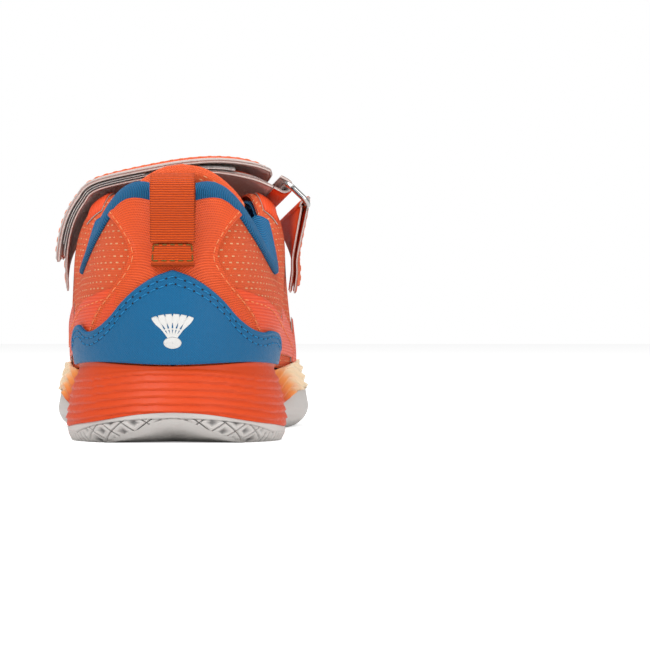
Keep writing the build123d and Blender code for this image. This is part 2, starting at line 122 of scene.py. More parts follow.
def profile(line: Array | list[tuple[float, float]], x: Array) -> Array:
    """Smooth line through a few points: Hermite cubics with slopes from the neighbours.

    Args:
        line: pairs of a place and a value, in rising order of place.
        x: places to read the line at.

    Returns:
        The values at x, held level past both ends.
    """
    knots = np.array(line, dtype=float)
    slopes = np.gradient(knots[:, 1], knots[:, 0])
    x = np.clip(x, knots[0, 0], knots[-1, 0])
    first = np.clip(np.searchsorted(knots[:, 0], x, side="right") - 1, 0, len(knots) - 2)
    span = knots[first + 1, 0] - knots[first, 0]
    t = (x - knots[first, 0]) / span
    start = knots[first, 1] * (1 + 2 * t) * (1 - t) ** 2 + slopes[first] * span * t * (1 - t) ** 2
    end = knots[first + 1, 1] * t**2 * (3 - 2 * t) + slopes[first + 1] * span * t**2 * (t - 1)
    return start + end


def ease(low: float, high: float, x: Array) -> Array:
    """Smooth step: 0 below low, 1 above high, and 3t^2 - 2t^3 between."""
    t = np.clip((x - low) / (high - low), 0, 1)
    return t * t * (3 - 2 * t)


def unit(vector: Array) -> Array:
    """Vectors brought to length 1."""
    return vector / np.maximum(np.linalg.norm(vector, axis=-1, keepdims=True), 1e-9)


@dataclass
class Last:
    """Shape of the foot space: stations run from the heel (0) by the outer side to the toe (9) and back."""

    heel_back: float = -36.0
    toe_tip: tuple[float, float] = (2.0, 199.0)
    feather_inset: float = 6.0
    ridge_gap: float = 0.30
    sole_rows: tuple[tuple[float, float, float], ...] = (
        (-25.0, 24.0, 24.0),
        (2.0, 34.8, 34.3),
        (35.0, 33.8, 31.0),
        (68.0, 34.8, 28.4),
        (100.0, 42.0, 34.3),
        (130.0, 46.8, 40.6),
        (160.0, 42.5, 38.8),
        (185.0, 27.5, 26.0),
    )
    top_rows: tuple[tuple[float, float, float], ...] = (
        (15.5, -20.0, 77.8),
        (27.6, 3.0, 60.5),
        (28.6, 29.0, 60.0),
        (21.5, 58.0, 79.5),
        (13.5, 85.0, 73.0),
        (6.0, 112.0, 61.5),
        (0.9, 134.0, 51.5),
        (0.5, 153.0, 45.5),
    )
    heel_top: tuple[float, float, float] = (0.0, -27.0, 76.4)
    tip_top: tuple[float, float, float] = (0.0, 163.0, 42.0)
    wall_rows: tuple[tuple[float, float, float, float], ...] = (
        (4.5, 18.0, 5.0, 22.0),
        (4.0, 20.0, 5.0, 20.0),
        (4.5, 18.0, 3.0, 12.0),
        (9.0, 22.0, 8.0, 12.0),
        (12.0, 28.0, 19.0, 3.0),
        (9.0, 32.0, 25.0, 2.5),
        (3.5, 26.0, 27.0, 5.0),
        (4.5, 18.0, 24.0, 4.5),
        (4.5, 14.0, 18.0, 5.0),
        (4.0, 12.0, 13.0, 4.2),
    )
    footbed_line: tuple[tuple[float, float], ...] = (
        (-40, 19.0), (0, 18.8), (40, 17.0), (80, 14.6), (120, 13.8), (160, 16.6), (200, 21.5),
    )
    rim_line: tuple[tuple[float, float], ...] = (
        (-40, 23.6), (-24, 25.0), (-5, 25.0), (20, 22.8), (40, 20.8), (70, 20.0),
        (95, 20.6), (115, 22.0), (140, 23.0), (165, 23.5), (203, 26.0),
    )
    rubber_line: tuple[tuple[float, float], ...] = (
        (-40, 11.0), (-28, 7.4), (-10, 5.2), (60, 5.2), (85, 7.6), (110, 12.2), (140, 13.4), (170, 15.6),
        (203, 19.5),
    )
    ground_line: tuple[tuple[float, float], ...] = (
        (-37, 9.5), (-34.5, 5.2), (-30, 2.0), (-23, 0.0), (60, 0.0), (135, 0.0), (160, 1.2), (182, 4.4),
            (203, 9.5),
    )
    count: int = field(init=False)
    toe: int = field(init=False)

    def __post_init__(self) -> None:
        """Work out the guide curves."""
        self.toe = len(self.sole_rows) + 1
        self.count = 2 * self.toe
        outer = [(-out, y) for y, out, _ in self.sole_rows]
        inner = [(inn, y) for y, _, inn in reversed(self.sole_rows)]
        sole_points = np.array([(0.0, self.heel_back), *outer, self.toe_tip, *inner])
        self.sole = periodic_spline(sole_points)
        stations = np.arange(self.count, dtype=float)
        away = self.outward(stations)
        flat = sole_points - away * self.feather_inset
        feather = np.column_stack([flat, profile(self.footbed_line, flat[:, 1])])
        left = [(-x, y, z) for x, y, z in self.top_rows]
        top = np.array([self.heel_top, *left, self.tip_top, *reversed(self.top_rows)])
        shape = np.array(self.wall_rows + self.wall_rows[-2:0:-1])
        self.feather = periodic_spline(feather)
        self.rising = periodic_spline(feather + np.column_stack([away * shape[:, :1], shape[:, 1]]))
        self.arriving = periodic_spline(top + np.column_stack([away * shape[:, 2:3], -shape[:, 3]]))
        self.top = periodic_spline(top)

    def outward(self, u: Array) -> Array:
        """Level unit normal of the sole's outline at the stations u."""
        along = self.sole(u + 1e-3) - self.sole(u - 1e-3)
        return unit(np.stack([-along[..., 1], along[..., 0]], axis=-1))

    def raw(self, u: Array, v: Array) -> Array:
        """Wall point: the cubic F(1-v)^3 + 3R v(1-v)^2 + 3A v^2(1-v) + T v^3 at each station."""
        v = np.asarray(v, dtype=float)[..., None]
        top = self.top(u)
        outer = np.mod(u, self.count) < self.toe
        top[..., 0] = np.where(outer, np.minimum(top[..., 0], -self.ridge_gap),
            np.maximum(top[..., 0], self.ridge_gap))
        lower = self.feather(u) * (1 - v) ** 3 + self.rising(u) * 3 * v * (1 - v) ** 2
        return lower + self.arriving(u) * 3 * v**2 * (1 - v) + top * v**3

    def normal(self, u: Array, v: Array) -> Array:
        """Outward unit normal of the wall, by differences."""
        u, v = np.broadcast_arrays(np.asarray(u, dtype=float), np.asarray(v, dtype=float))
        inside = np.clip(v, None, 0.97)
        up = self.raw(u, inside + 1e-3) - self.raw(u, inside - 1e-3)
        along = self.raw(u + 1e-3, inside) - self.raw(u - 1e-3, inside)
        return unit(np.cross(up, along))

    def skin(self, u: Array, v: Array, depth: Array | float = 0.0) -> Array:
        """Wall point moved outwards by depth along the normal."""
        u, v = np.broadcast_arrays(np.asarray(u, dtype=float), np.asarray(v, dtype=float))
        return self.raw(u, v) + self.normal(u, v) * np.asarray(depth)[..., None]

    def level_at(self, u: Array, z: Array | float) -> Array:
        """Level v at which the wall reaches the height z, by halving."""
        low, high = np.full(np.shape(u), -0.25), np.full(np.shape(u), 1.0)
        for _ in range(36):
            middle = (low + high) / 2
            below = self.raw(u, middle)[..., 2] < z
            low, high = np.where(below, middle, low), np.where(below, high, middle)
        return (low + high) / 2

    def station_at(self, y: Array, v: Array | float, span: tuple[float, float]) -> Array:
        """Station in span where the wall at the level v reaches the distance y, by halving."""
        low, high = np.full(np.shape(y), span[0]), np.full(np.shape(y), span[1])
        rising = self.raw(high, v)[..., 1] > self.raw(low, v)[..., 1]
        for _ in range(36):
            middle = (low + high) / 2
            short = (self.raw(middle, v)[..., 1] < y) == rising
            low, high = np.where(short, middle, low), np.where(short, high, middle)
        return (low + high) / 2

    def arc_length(self, u: Array) -> Array:
        """Length round the sole's outline from the heel to the stations u."""
        fine = np.linspace(-self.count, 2 * self.count, 3 * 40 * self.count + 1)
        steps = np.linalg.norm(np.diff(self.sole(fine), axis=0), axis=1)
        total = np.concatenate([[0.0], np.cumsum(steps)])
        return np.interp(u, fine, total - np.interp(0.0, fine, total))


# ---- Meshes from grids ---------------------------------------------------------------------------
def quads(rows: int, columns: int, start: int = 0, ring: bool = False) -> Array:
    """Corner numbers of a grid's quads.

    Args:
        rows: points along the first parameter.
        columns: points along the second parameter.
        start: number of the grid's first point.
        ring: whether the last row joins the first.

    Returns:
        One row of four numbers for each quad.
    """
    i = np.arange(rows if ring else rows - 1)[:, None]
    j = np.arange(columns - 1)[None, :]
    after = (i + 1) % rows
    corners = [i * columns + j, after * columns + j, after * columns + j + 1, i * columns + j + 1]
    return np.stack([c.ravel() for c in corners], axis=1) + start


def mesh_piece(
    name: str,
    points: Array,
    faces: Array | list[Array],
    finish: bpy.types.Material | list[bpy.types.Material],
    uv: Array | None = None,
) -> bpy.types.Object:
    """Make an object from points in millimetres.

    Args:
        name: the piece's name.
        points: one row for each vertex.
        faces: one row of vertex numbers for each face, or a list of such tables.
        finish: the material, or one material for each table of faces.
        uv: a pair for each vertex, in centimetres along the piece's own surface.

    Returns:
        The new object, at the origin, shaded smooth.
    """
    tables = faces if isinstance(faces, list) else [faces]
    finishes = finish if isinstance(finish, list) else [finish]
    points = points.reshape(-1, 3)
    lengths = np.concatenate([np.full(len(table), table.shape[1]) for table in tables])
    corners = np.concatenate([table.ravel() for table in tables]).astype(np.int32)
    mesh = bpy.data.meshes.new(name)
    mesh.vertices.add(len(points))
    mesh.vertices.foreach_set("co", np.ascontiguousarray(points * MM, dtype=np.float32).ravel())
    mesh.loops.add(len(corners))
    mesh.loops.foreach_set("vertex_index", corners)
    mesh.polygons.add(len(lengths))
    starts = np.concatenate([[0], np.cumsum(lengths)[:-1]]).astype(np.int32)
    mesh.polygons.foreach_set("loop_start", starts)
    mesh.update(calc_edges=True)
    for material in finishes:
        mesh.materials.append(material)
    if len(finishes) > 1:
        number = np.concatenate([np.full(len(table), k) for k, table in enumerate(tables)])
        mesh.polygons.foreach_set("material_index", number.astype(np.int32))
    pairs = points[:, :2] / 10 if uv is None else uv.reshape(-1, 2)
    layer = mesh.uv_layers.new(name="surface")
    layer.data.foreach_set("uv", pairs[corners].astype(np.float32).ravel())
    mesh.validate()
    mesh.shade_smooth()
    piece = bpy.data.objects.new(name, mesh)
    bpy.context.scene.collection.objects.link(piece)
    return piece


def surface_uv(grid: Array) -> Array:
    """Lengths on a grid, in centimetres: down its middle column, and along every row from its own start."""
    down = np.linalg.norm(np.diff(grid[:, grid.shape[1] // 2], axis=0), axis=-1)
    a = np.concatenate([[0.0], np.cumsum(down)])[:, None] + np.zeros(grid.shape[:2])
    along = np.cumsum(np.linalg.norm(np.diff(grid, axis=1), axis=-1), axis=1)
    b = np.concatenate([np.zeros((grid.shape[0], 1)), along], axis=1)
    return np.stack([a, b], axis=-1) / 10


def facing(points: Array, faces: Array) -> Array:
    """Faces of a closed mesh turned so that they point outwards, by the sign of the enclosed volume."""
    a, b, c = points[faces[:, 0]], points[faces[:, 1]], points[faces[:, 2]]
    volume = np.einsum("ij,ij->", a, np.cross(b, c))
    if faces.shape[1] == 4:
        volume += np.einsum("ij,ij->", a, np.cross(c, points[faces[:, 3]]))
    return faces if volume > 0 else faces[:, ::-1]


def closed_sheet(
    name: str,
    outer: Array,
    inner: Array,
    finish: bpy.types.Material | list[bpy.types.Material],
    uv: Array | None = None,
    bound: int = 0,
) -> bpy.types.Object:
    """Closed sheet between two grids of the same layout, with walls round its edge.

    Args:
        name: the piece's name.
        outer: grid of points on the visible face.
        inner: grid of points on the hidden face.
        finish: the material.
        uv: surface lengths for each grid point, worked out from the outer face if left out.
        bound: number of border rows of the face that take the cut edge's finish.

    Returns:
        The new object.
    """
    rows, columns = outer.shape[:2]
    points = np.concatenate([outer.reshape(-1, 3), inner.reshape(-1, 3)])
    count = rows * columns
    number = np.arange(count).reshape(rows, columns)
    loop = np.concatenate([number[0], number[1:, -1], number[-1, -2::-1], number[-2:0:-1, 0]])
    after = np.roll(loop, -1)
    walls = np.stack([loop, after, after + count, loop + count], axis=1)
    top = quads(rows, columns)
    faces = np.concatenate([top[:, ::-1], top + count, walls])
    if np.cross(outer[1, 0] - outer[0, 0], outer[0, 1] - outer[0, 0]).dot(outer[0, 0] - inner[0, 0]) > 0:
        faces = np.concatenate([top, top[:, ::-1] + count, walls[:, ::-1]])
    lengths = surface_uv(outer) if uv is None else uv
    both = np.concatenate([lengths.reshape(-1, 2)] * 2)
    turned = facing(points, faces)
    if isinstance(finish, list):
        face, back, wall = turned[: len(top)], turned[len(top) : 2 * len(top)], turned[2 * len(top) :]
        row = np.arange(len(top)) // (columns - 1)
        border = (row < bound) | (row >= rows - 1 - bound)
        split = [face[~border], back, np.concatenate([wall, face[border]])] if border.any() else [face, back,
            wall]
        return mesh_piece(name, points, split, finish, both)
    return mesh_piece(name, points, turned, finish, both)


def spread(count: int, crowding: float = 0.6) -> Array:
    """Numbers from 0 to 1, closer together near both ends: a blend of even steps and half a cosine wave."""
    even = np.linspace(0, 1, count)
    return even * (1 - crowding) + (1 - np.cos(np.pi * even)) / 2 * crowding


def rounded(outer: Array, edge: float) -> Array:
    """Share of full thickness over a sheet's grid: sqrt(1 - (1 - d/edge)^2) at the distance d from its border."""
    def reach(steps: Array) -> Array:
        run = np.cumsum(steps, axis=0)
        back = run[-1] - run
        return np.minimum(np.concatenate([np.zeros_like(run[:1]), run]), np.concatenate([run[-1:], back]))

    along = reach(np.linalg.norm(np.diff(outer, axis=0), axis=-1))
    across = reach(np.linalg.norm(np.diff(outer, axis=1), axis=-1).T).T
    share = np.clip(np.minimum(along, across) / edge, 0, 1)
    return np.sqrt(1 - (1 - share) ** 2)


# ---- Finishes ------------------------------------------------------------------------------------
Colour = tuple[float, float, float]
Socket = bpy.types.NodeSocket


@dataclass
class Sheet:
    """A node tree under construction, with short calls for the nodes that the finishes use."""

    tree: bpy.types.NodeTree

    def node(self, kind: str, **values: object) -> bpy.types.Node:
        """New node of a kind, with its properties set."""
        made = self.tree.nodes.new(kind)
        for name, value in values.items():
            setattr(made, name, value)
        return made

    def join(self, source: Socket, target: Socket) -> None:
        """Link two sockets."""
        self.tree.links.new(source, target)

    def feed(self, target: Socket, value: object) -> None:
        """Link a socket, or set a plain value, on a target socket."""
        if isinstance(value, bpy.types.NodeSocket):
            self.join(value, target)
        else:
            target.default_value = value

    def math(self, operation: str, a: object, b: object = 0.0, clamp: bool = False) -> Socket:
        """Result of a Math node."""
        made = self.node("ShaderNodeMath", operation=operation, use_clamp=clamp)
        self.feed(made.inputs[0], a)
        self.feed(made.inputs[1], b)
        return made.outputs[0]

    def split(self, vector: Socket) -> tuple[Socket, Socket, Socket]:
        """The three parts of a vector."""
        made = self.node("ShaderNodeSeparateXYZ")
        self.join(vector, made.inputs[0])
        return made.outputs[0], made.outputs[1], made.outputs[2]

    def noise(self, vector: Socket, scale: object, detail: float = 3.0) -> Socket:
        """Value of a Noise Texture."""
        made = self.node("ShaderNodeTexNoise")
        self.join(vector, made.inputs["Vector"])
        self.feed(made.inputs["Scale"], scale)
        made.inputs["Detail"].default_value = detail
        return made.outputs["Fac"]

    def ramp(self, value: Socket, low: float, high: float, start: float = 0.0, end: float = 1.0) -> Socket:
        """Value carried smoothly from low..high to start..end."""
        made = self.node("ShaderNodeMapRange", interpolation_type="SMOOTHSTEP")
        self.join(value, made.inputs["Value"])
        made.inputs["From Min"].default_value = low
        made.inputs["From Max"].default_value = high
        made.inputs["To Min"].default_value = start
        made.inputs["To Max"].default_value = end
        return made.outputs["Result"]

    def mix(self, share: object, a: object, b: object, blend: str = "MIX") -> Socket:
        """Colour between a and b."""
        made = self.node("ShaderNodeMix", data_type="RGBA", blend_type=blend)
        self.feed(made.inputs[0], share)
        for socket, value in ((made.inputs[6], a), (made.inputs[7], b)):
            self.feed(socket, (*value, 1.0) if isinstance(value, tuple) and len(value) == 3 else value)
        return made.outputs[2]

    def wave(self, value: Socket, pitch: object, shift: float = 0.0) -> Socket:
        """Sine of a length, one turn for each pitch."""
        turns = self.math("DIVIDE", value, pitch)
        return self.math("SINE", self.math("ADD", self.math("MULTIPLY", turns, 2 * math.pi), shift))

    def group(self, source: bpy.types.NodeTree, **values: object) -> bpy.types.Node:
        """A node group placed in the tree, with its inputs set by name."""
        made = self.node("ShaderNodeGroup")
        made.node_tree = source
        for name, value in values.items():
            self.feed(made.inputs[name], value)
        return made


def new_group(
    name: str, inputs: dict[str, tuple[str, float]], outputs: dict[str, str]
) -> tuple[Sheet, dict[str, Socket], bpy.types.Node]:
    """Start a shader node group.

    Args:
        name: the group's name.
        inputs: for each input, its kind (Vector or Float) and its usual value.
        outputs: the kind of each output.

    Returns:
        The sheet to build on, the group's inputs by name, and its output node.
    """
    tree = bpy.data.node_groups.new(name, "ShaderNodeTree")
    for socket, (kind, value) in inputs.items():
        made = tree.interface.new_socket(socket, in_out="INPUT", socket_type=f"NodeSocket{kind}")
        if kind == "Float":
            made.default_value = value
    for socket, kind in outputs.items():
        tree.interface.new_socket(socket, in_out="OUTPUT", socket_type=f"NodeSocket{kind}")
    sheet = Sheet(tree)
    entry = sheet.node("NodeGroupInput")
    leave = sheet.node("NodeGroupOutput")
    return sheet, {socket: entry.outputs[socket] for socket in inputs}, leave


def knit_group() -> bpy.types.NodeTree:
    """Knit: stitches as rounded loops on a grid of courses and wales, with a mask of floating yarn dashes.

    Height is |sin(x/wale)|^0.5 times a course wave that leans left and right; the dash mask is a box about
    every second loop of every second course.
    """
    sheet, ins, out = new_group(
        "knit",
        {"Lengths": ("Vector", 0.0), "Wale": ("Float", 0.08), "Course": ("Float", 0.06),
            "Dash": ("Float", 0.2)},
        {"Height": "Float", "Dash": "Float", "Shade": "Float"},
    )
    x, y, _ = sheet.split(ins["Lengths"])
    lean = sheet.math("MULTIPLY", sheet.wave(x, ins["Wale"]), 0.18)
    course = sheet.wave(sheet.math("ADD", y, sheet.math("MULTIPLY", lean, ins["Course"])), ins["Course"])
    wale = sheet.math("ABSOLUTE", sheet.wave(x, sheet.math("MULTIPLY", ins["Wale"], 2.0)))
    loops = sheet.math("MULTIPLY", sheet.math("POWER", wale, 0.6),
        sheet.math("ADD", sheet.math("MULTIPLY", course, 0.5), 0.5))
    fibre = sheet.noise(ins["Lengths"], 90.0, 2.0)
    sheet.join(sheet.math("ADD", sheet.math("MULTIPLY", loops, 0.85), sheet.math("MULTIPLY", fibre, 0.3)),
        out.inputs["Height"])
    rows = sheet.math("DIVIDE", y, ins["Dash"])
    wide = sheet.math("MULTIPLY", ins["Dash"], 1.6)
    step = sheet.math("MULTIPLY", sheet.math("FLOOR", rows), 0.5)
    along = sheet.math("FRACT", sheet.math("ADD", sheet.math("DIVIDE", x, wide), step))
    bar = sheet.math("MULTIPLY", sheet.ramp(along, 0.18, 0.24), sheet.ramp(along, 0.56, 0.62, 1.0, 0.0))
    up = sheet.math("FRACT", rows)
    thin = sheet.math("MULTIPLY", sheet.ramp(up, 0.36, 0.44), sheet.ramp(up, 0.56, 0.64, 1.0, 0.0))
    spotty = sheet.ramp(sheet.noise(ins["Lengths"], 5.0, 1.0), 0.36, 0.50)
    sheet.join(sheet.math("MULTIPLY", sheet.math("MULTIPLY", bar, thin), spotty), out.inputs["Dash"])
    # Shade: loop height with a fibre noise; the finish darkens its ground where this is low, painted shade between
    # the loops over a random fibre tone
    sheet.join(sheet.math("ADD", sheet.math("MULTIPLY", loops, 0.6), sheet.math("MULTIPLY", fibre, 0.4)),
        out.inputs["Shade"])
    return sheet.tree


def emboss_group() -> bpy.types.NodeTree:
    """Embossed sheet: pits at the crossings of two diagonal waves, with fine leather grain between."""
    sheet, ins, out = new_group(
        "emboss",
        {"Lengths": ("Vector", 0.0), "Wide": ("Float", 0.09), "Tall": ("Float", 0.06),
            "Grain": ("Float", 60.0)},
        {"Height": "Float", "Pit": "Float"},
    )
    x, y, _ = sheet.split(ins["Lengths"])
    across, up = sheet.math("DIVIDE", x, ins["Wide"]), sheet.math("DIVIDE", y, ins["Tall"])
    one = sheet.math("SINE", sheet.math("MULTIPLY", sheet.math("ADD", across, up), math.pi))
    two = sheet.math("SINE", sheet.math("MULTIPLY", sheet.math("SUBTRACT", across, up), math.pi))
    pit = sheet.ramp(sheet.math("ABSOLUTE", sheet.math("MULTIPLY", one, two)), 0.35, 0.85)
    grain = sheet.noise(ins["Lengths"], ins["Grain"], 4.0)
    sheet.join(sheet.math("SUBTRACT", sheet.math("MULTIPLY", grain, 0.25), sheet.math("MULTIPLY", pit, 0.6)),
        out.inputs["Height"])
    # the Pit mask also gives the pits the finish's darker second colour: painted shade in the pits
    sheet.join(pit, out.inputs["Pit"])
    return sheet.tree


def rib_group() -> bpy.types.NodeTree:
    """Ribbed weave: ribs across the length, each broken into yarns by a finer wave along it."""
    sheet, ins, out = new_group(
        "ribs",
        {"Lengths": ("Vector", 0.0), "Rib": ("Float", 0.08), "Yarn": ("Float", 0.05)},
        {"Height": "Float", "Shade": "Float"},
    )
    x, y, _ = sheet.split(ins["Lengths"])
    wobble = sheet.math("MULTIPLY", sheet.noise(ins["Lengths"], 4.0, 2.0), 0.02)
    rib = sheet.wave(sheet.math("ADD", y, wobble), ins["Rib"])
    yarn = sheet.wave(x, ins["Yarn"])
    lifted = sheet.math("ADD", sheet.math("MULTIPLY", rib, 0.5), 0.5)
    fibre = sheet.noise(ins["Lengths"], 70.0, 2.0)
    weave = sheet.math("ADD", sheet.math("MULTIPLY", lifted, 0.8),
        sheet.math("MULTIPLY", sheet.math("MULTIPLY", yarn, lifted), 0.12))
    sheet.join(sheet.math("ADD", weave, sheet.math("MULTIPLY", fibre, 0.2)), out.inputs["Height"])
    # Shade is the rib wave: the finish paints shade into the valleys between the ribs with it
    sheet.join(lifted, out.inputs["Shade"])
    return sheet.tree


def soil_group() -> bpy.types.NodeTree:
    """Uneven tone: a broad cloud and a fine speckle, both near 1, to multiply a colour by."""
    sheet, ins, out = new_group("soil", {"Place": ("Vector", 0.0), "Depth": ("Float", 0.1)},
        {"Tone": "Float", "Speck": "Float"})
    cloud = sheet.noise(ins["Place"], 35.0, 3.0)
    speck = sheet.noise(ins["Place"], 900.0, 2.0)
    both = sheet.math("ADD", sheet.math("MULTIPLY", cloud, 0.6), sheet.math("MULTIPLY", speck, 0.4))
    away = sheet.math("MULTIPLY", sheet.math("SUBTRACT", both, 0.5), ins["Depth"])
    sheet.join(sheet.math("ADD", away, 1.0), out.inputs["Tone"])
    sheet.join(speck, out.inputs["Speck"])
    return sheet.tree


@dataclass(frozen=True)
class Finish:
    """A surface: its colours, gloss and the pattern that breaks it up. Lengths are in centimetres."""

    name: str
    colour: Colour
    # second colour: painted shade in emboss pits, rib valleys and tread pits; the knit's dash yarn, the foam's warm
    # middle and a random grain tone in the other patterns
    second: Colour
    roughness: float = 0.6
    relief: float = 0.0004
    sheen: float = 0.0
    metallic: float = 0.0
    coat: float = 0.0
    pattern: str = "plain"
    sizes: tuple[float, float] = (0.08, 0.06)
    tone: float = 0.12


@dataclass
class Wardrobe:
    """All the finishes of the shoe, each made into a material once."""

    made: dict[str, bpy.types.Material] = field(default_factory=dict)
    groups: dict[str, bpy.types.NodeTree] = field(default_factory=dict)

    def __post_init__(self) -> None:
        """Build the shared groups."""
        self.groups = {"knit": knit_group(), "emboss": emboss_group(), "ribs": rib_group(),
            "soil": soil_group()}

    def dress(self, finish: Finish) -> bpy.types.Material:
        """Material of a finish, built the first time that it is asked for."""
        if finish.name not in self.made:
            self.made[finish.name] = self.build(finish)
        return self.made[finish.name]

    def build(self, finish: Finish) -> bpy.types.Material:
        """Make the material of a finish.

        Args:
            finish: the colours, gloss and pattern.

        Returns:
            The material, with the pattern in its colour, roughness and bump.
        """
        material = bpy.data.materials.new(finish.name)
        material.use_nodes = True
        sheet = Sheet(material.node_tree)
        shader = material.node_tree.nodes["Principled BSDF"]
        place = sheet.node("ShaderNodeTexCoord").outputs["Object"]
        lengths = sheet.node("ShaderNodeUVMap", uv_map="surface").outputs["UV"]
        soil = sheet.group(self.groups["soil"], Place=place, Depth=finish.tone)
        base, height = self.pattern(sheet, finish, lengths, place)
        tone = sheet.node("ShaderNodeCombineColor")
        for socket in tone.inputs[:3]:
            sheet.join(soil.outputs["Tone"], socket)
        sheet.join(sheet.mix(1.0, base, tone.outputs[0], "MULTIPLY"), shader.inputs["Base Color"])
        rough = sheet.ramp(soil.outputs["Speck"], 0.3, 0.7, finish.roughness - 0.05, finish.roughness + 0.05)
        sheet.join(rough, shader.inputs["Roughness"])
        bump = sheet.node("ShaderNodeBump")
        bump.inputs["Strength"].default_value = 1.0
        bump.inputs["Distance"].default_value = finish.relief
        sheet.join(height, bump.inputs["Height"])
        sheet.join(bump.outputs["Normal"], shader.inputs["Normal"])
        shader.inputs["Metallic"].default_value = finish.metallic
        shader.inputs["Specular IOR Level"].default_value = 0.5 if finish.metallic else 0.28
        shader.inputs["Coat Weight"].default_value = finish.coat
        shader.inputs["Coat Roughness"].default_value = 0.35
        shader.inputs["Sheen Weight"].default_value = finish.sheen
        return material

    def pattern(self, sheet: Sheet, finish: Finish, lengths: Socket, place: Socket) -> tuple[Socket, Socket]:
        """Colour and height of a finish's pattern.

        Args:
            sheet: the material's nodes.
            finish: what to draw.
            lengths: the piece's own surface lengths, in centimetres.
            place: the object coordinates.

        Returns:
            The colour and the height.
        """
        first, second = (*finish.colour, 1.0), (*finish.second, 1.0)
        if finish.pattern == "knit":
            knit = sheet.group(self.groups["knit"], Lengths=lengths, Wale=finish.sizes[0],
                Course=finish.sizes[1])
            # painted shade: the knit's ground falls to 0.72 of its colour between the loops, where Shade is low
            ground = sheet.mix(sheet.ramp(knit.outputs["Shade"], 0.0, 0.5),
                tuple(c * 0.72 for c in finish.colour), first)
            dash = sheet.math("ADD", knit.outputs["Height"],
                sheet.math("MULTIPLY", knit.outputs["Dash"], 0.6))
            return sheet.mix(knit.outputs["Dash"], ground, second), dash
        if finish.pattern == "emboss":
            emboss = sheet.group(self.groups["emboss"], Lengths=lengths, Wide=finish.sizes[0],
                Tall=finish.sizes[1])
            # painted shade: the embossed pits take the darker second colour
            return sheet.mix(emboss.outputs["Pit"], first, second), emboss.outputs["Height"]
        if finish.pattern == "ribs":
            ribs = sheet.group(self.groups["ribs"], Lengths=lengths, Rib=finish.sizes[0],
                Yarn=finish.sizes[1])
            # painted shade: the valleys between the ribs take the darker second colour, the crests the first
            return sheet.mix(sheet.ramp(ribs.outputs["Shade"], 0.05, 0.6), second,
                first), ribs.outputs["Height"]
        if finish.pattern == "foam":
            _, y, _ = sheet.split(place)
            fade_and_pit_shade = sheet.node("ShaderNodeAttribute", attribute_name="fade_and_pit_shade").outputs["Fac"]
            warm = sheet.mix(sheet.ramp(fade_and_pit_shade, 0.0, 0.55), first, second)
            return sheet.mix(sheet.ramp(fade_and_pit_shade, 0.45, 1.0), warm, (0.93, 0.74, 0.50, 1.0)), sheet.noise(place,
                2500.0, 2.0)
        if finish.pattern == "tread":
            # painted shade: the tread's pits and grooves take the dark second colour, by the depth held in the
            # attribute
            pit = sheet.node("ShaderNodeAttribute", attribute_name="fade_and_pit_shade").outputs["Fac"]
            return sheet.mix(sheet.ramp(pit, 0.02, 0.9), first, second), sheet.noise(place, 1500.0, 2.0)
        grain = sheet.noise(place, 1.0 / (finish.sizes[0] * 0.01), 4.0)
        return sheet.mix(sheet.ramp(grain, 0.3, 0.7), first, second), grain


class Tint:
    """Colours measured for the shoe's materials, in linear light."""

    ORANGE = (0.86, 0.110, 0.022)
    ORANGE_DEEP = (0.60, 0.050, 0.010)
    FOAM = (0.66, 0.062, 0.008)
    AMBER = (0.86, 0.30, 0.055)
    CREAM = (0.90, 0.50, 0.25)
    BLUE = (0.002, 0.140, 0.320)
    # darker blue: painted shade in the cover's pits and the lining's rib valleys, and the sock liner's own colour
    BLUE_SHADE_AND_SOCK = (0.004, 0.070, 0.185)
    WEBBING = (0.74, 0.090, 0.004)
    # painted shade: the webbing's colour in the valleys between its ribs
    WEBBING_RIB_SHADE = (0.36, 0.030, 0.004)
    OLIVE = (0.10, 0.07, 0.012)
    RUBBER = (0.60, 0.575, 0.550)
    RUBBER_DEEP = (0.47, 0.445, 0.425)
    GREY_PINK = (0.56, 0.44, 0.40)
    PILE = (0.70, 0.66, 0.62)
    WHITE = (0.72, 0.71, 0.69)
    # painted shade: the near-black of the needle holes
    DARK = (0.012, 0.012, 0.016)


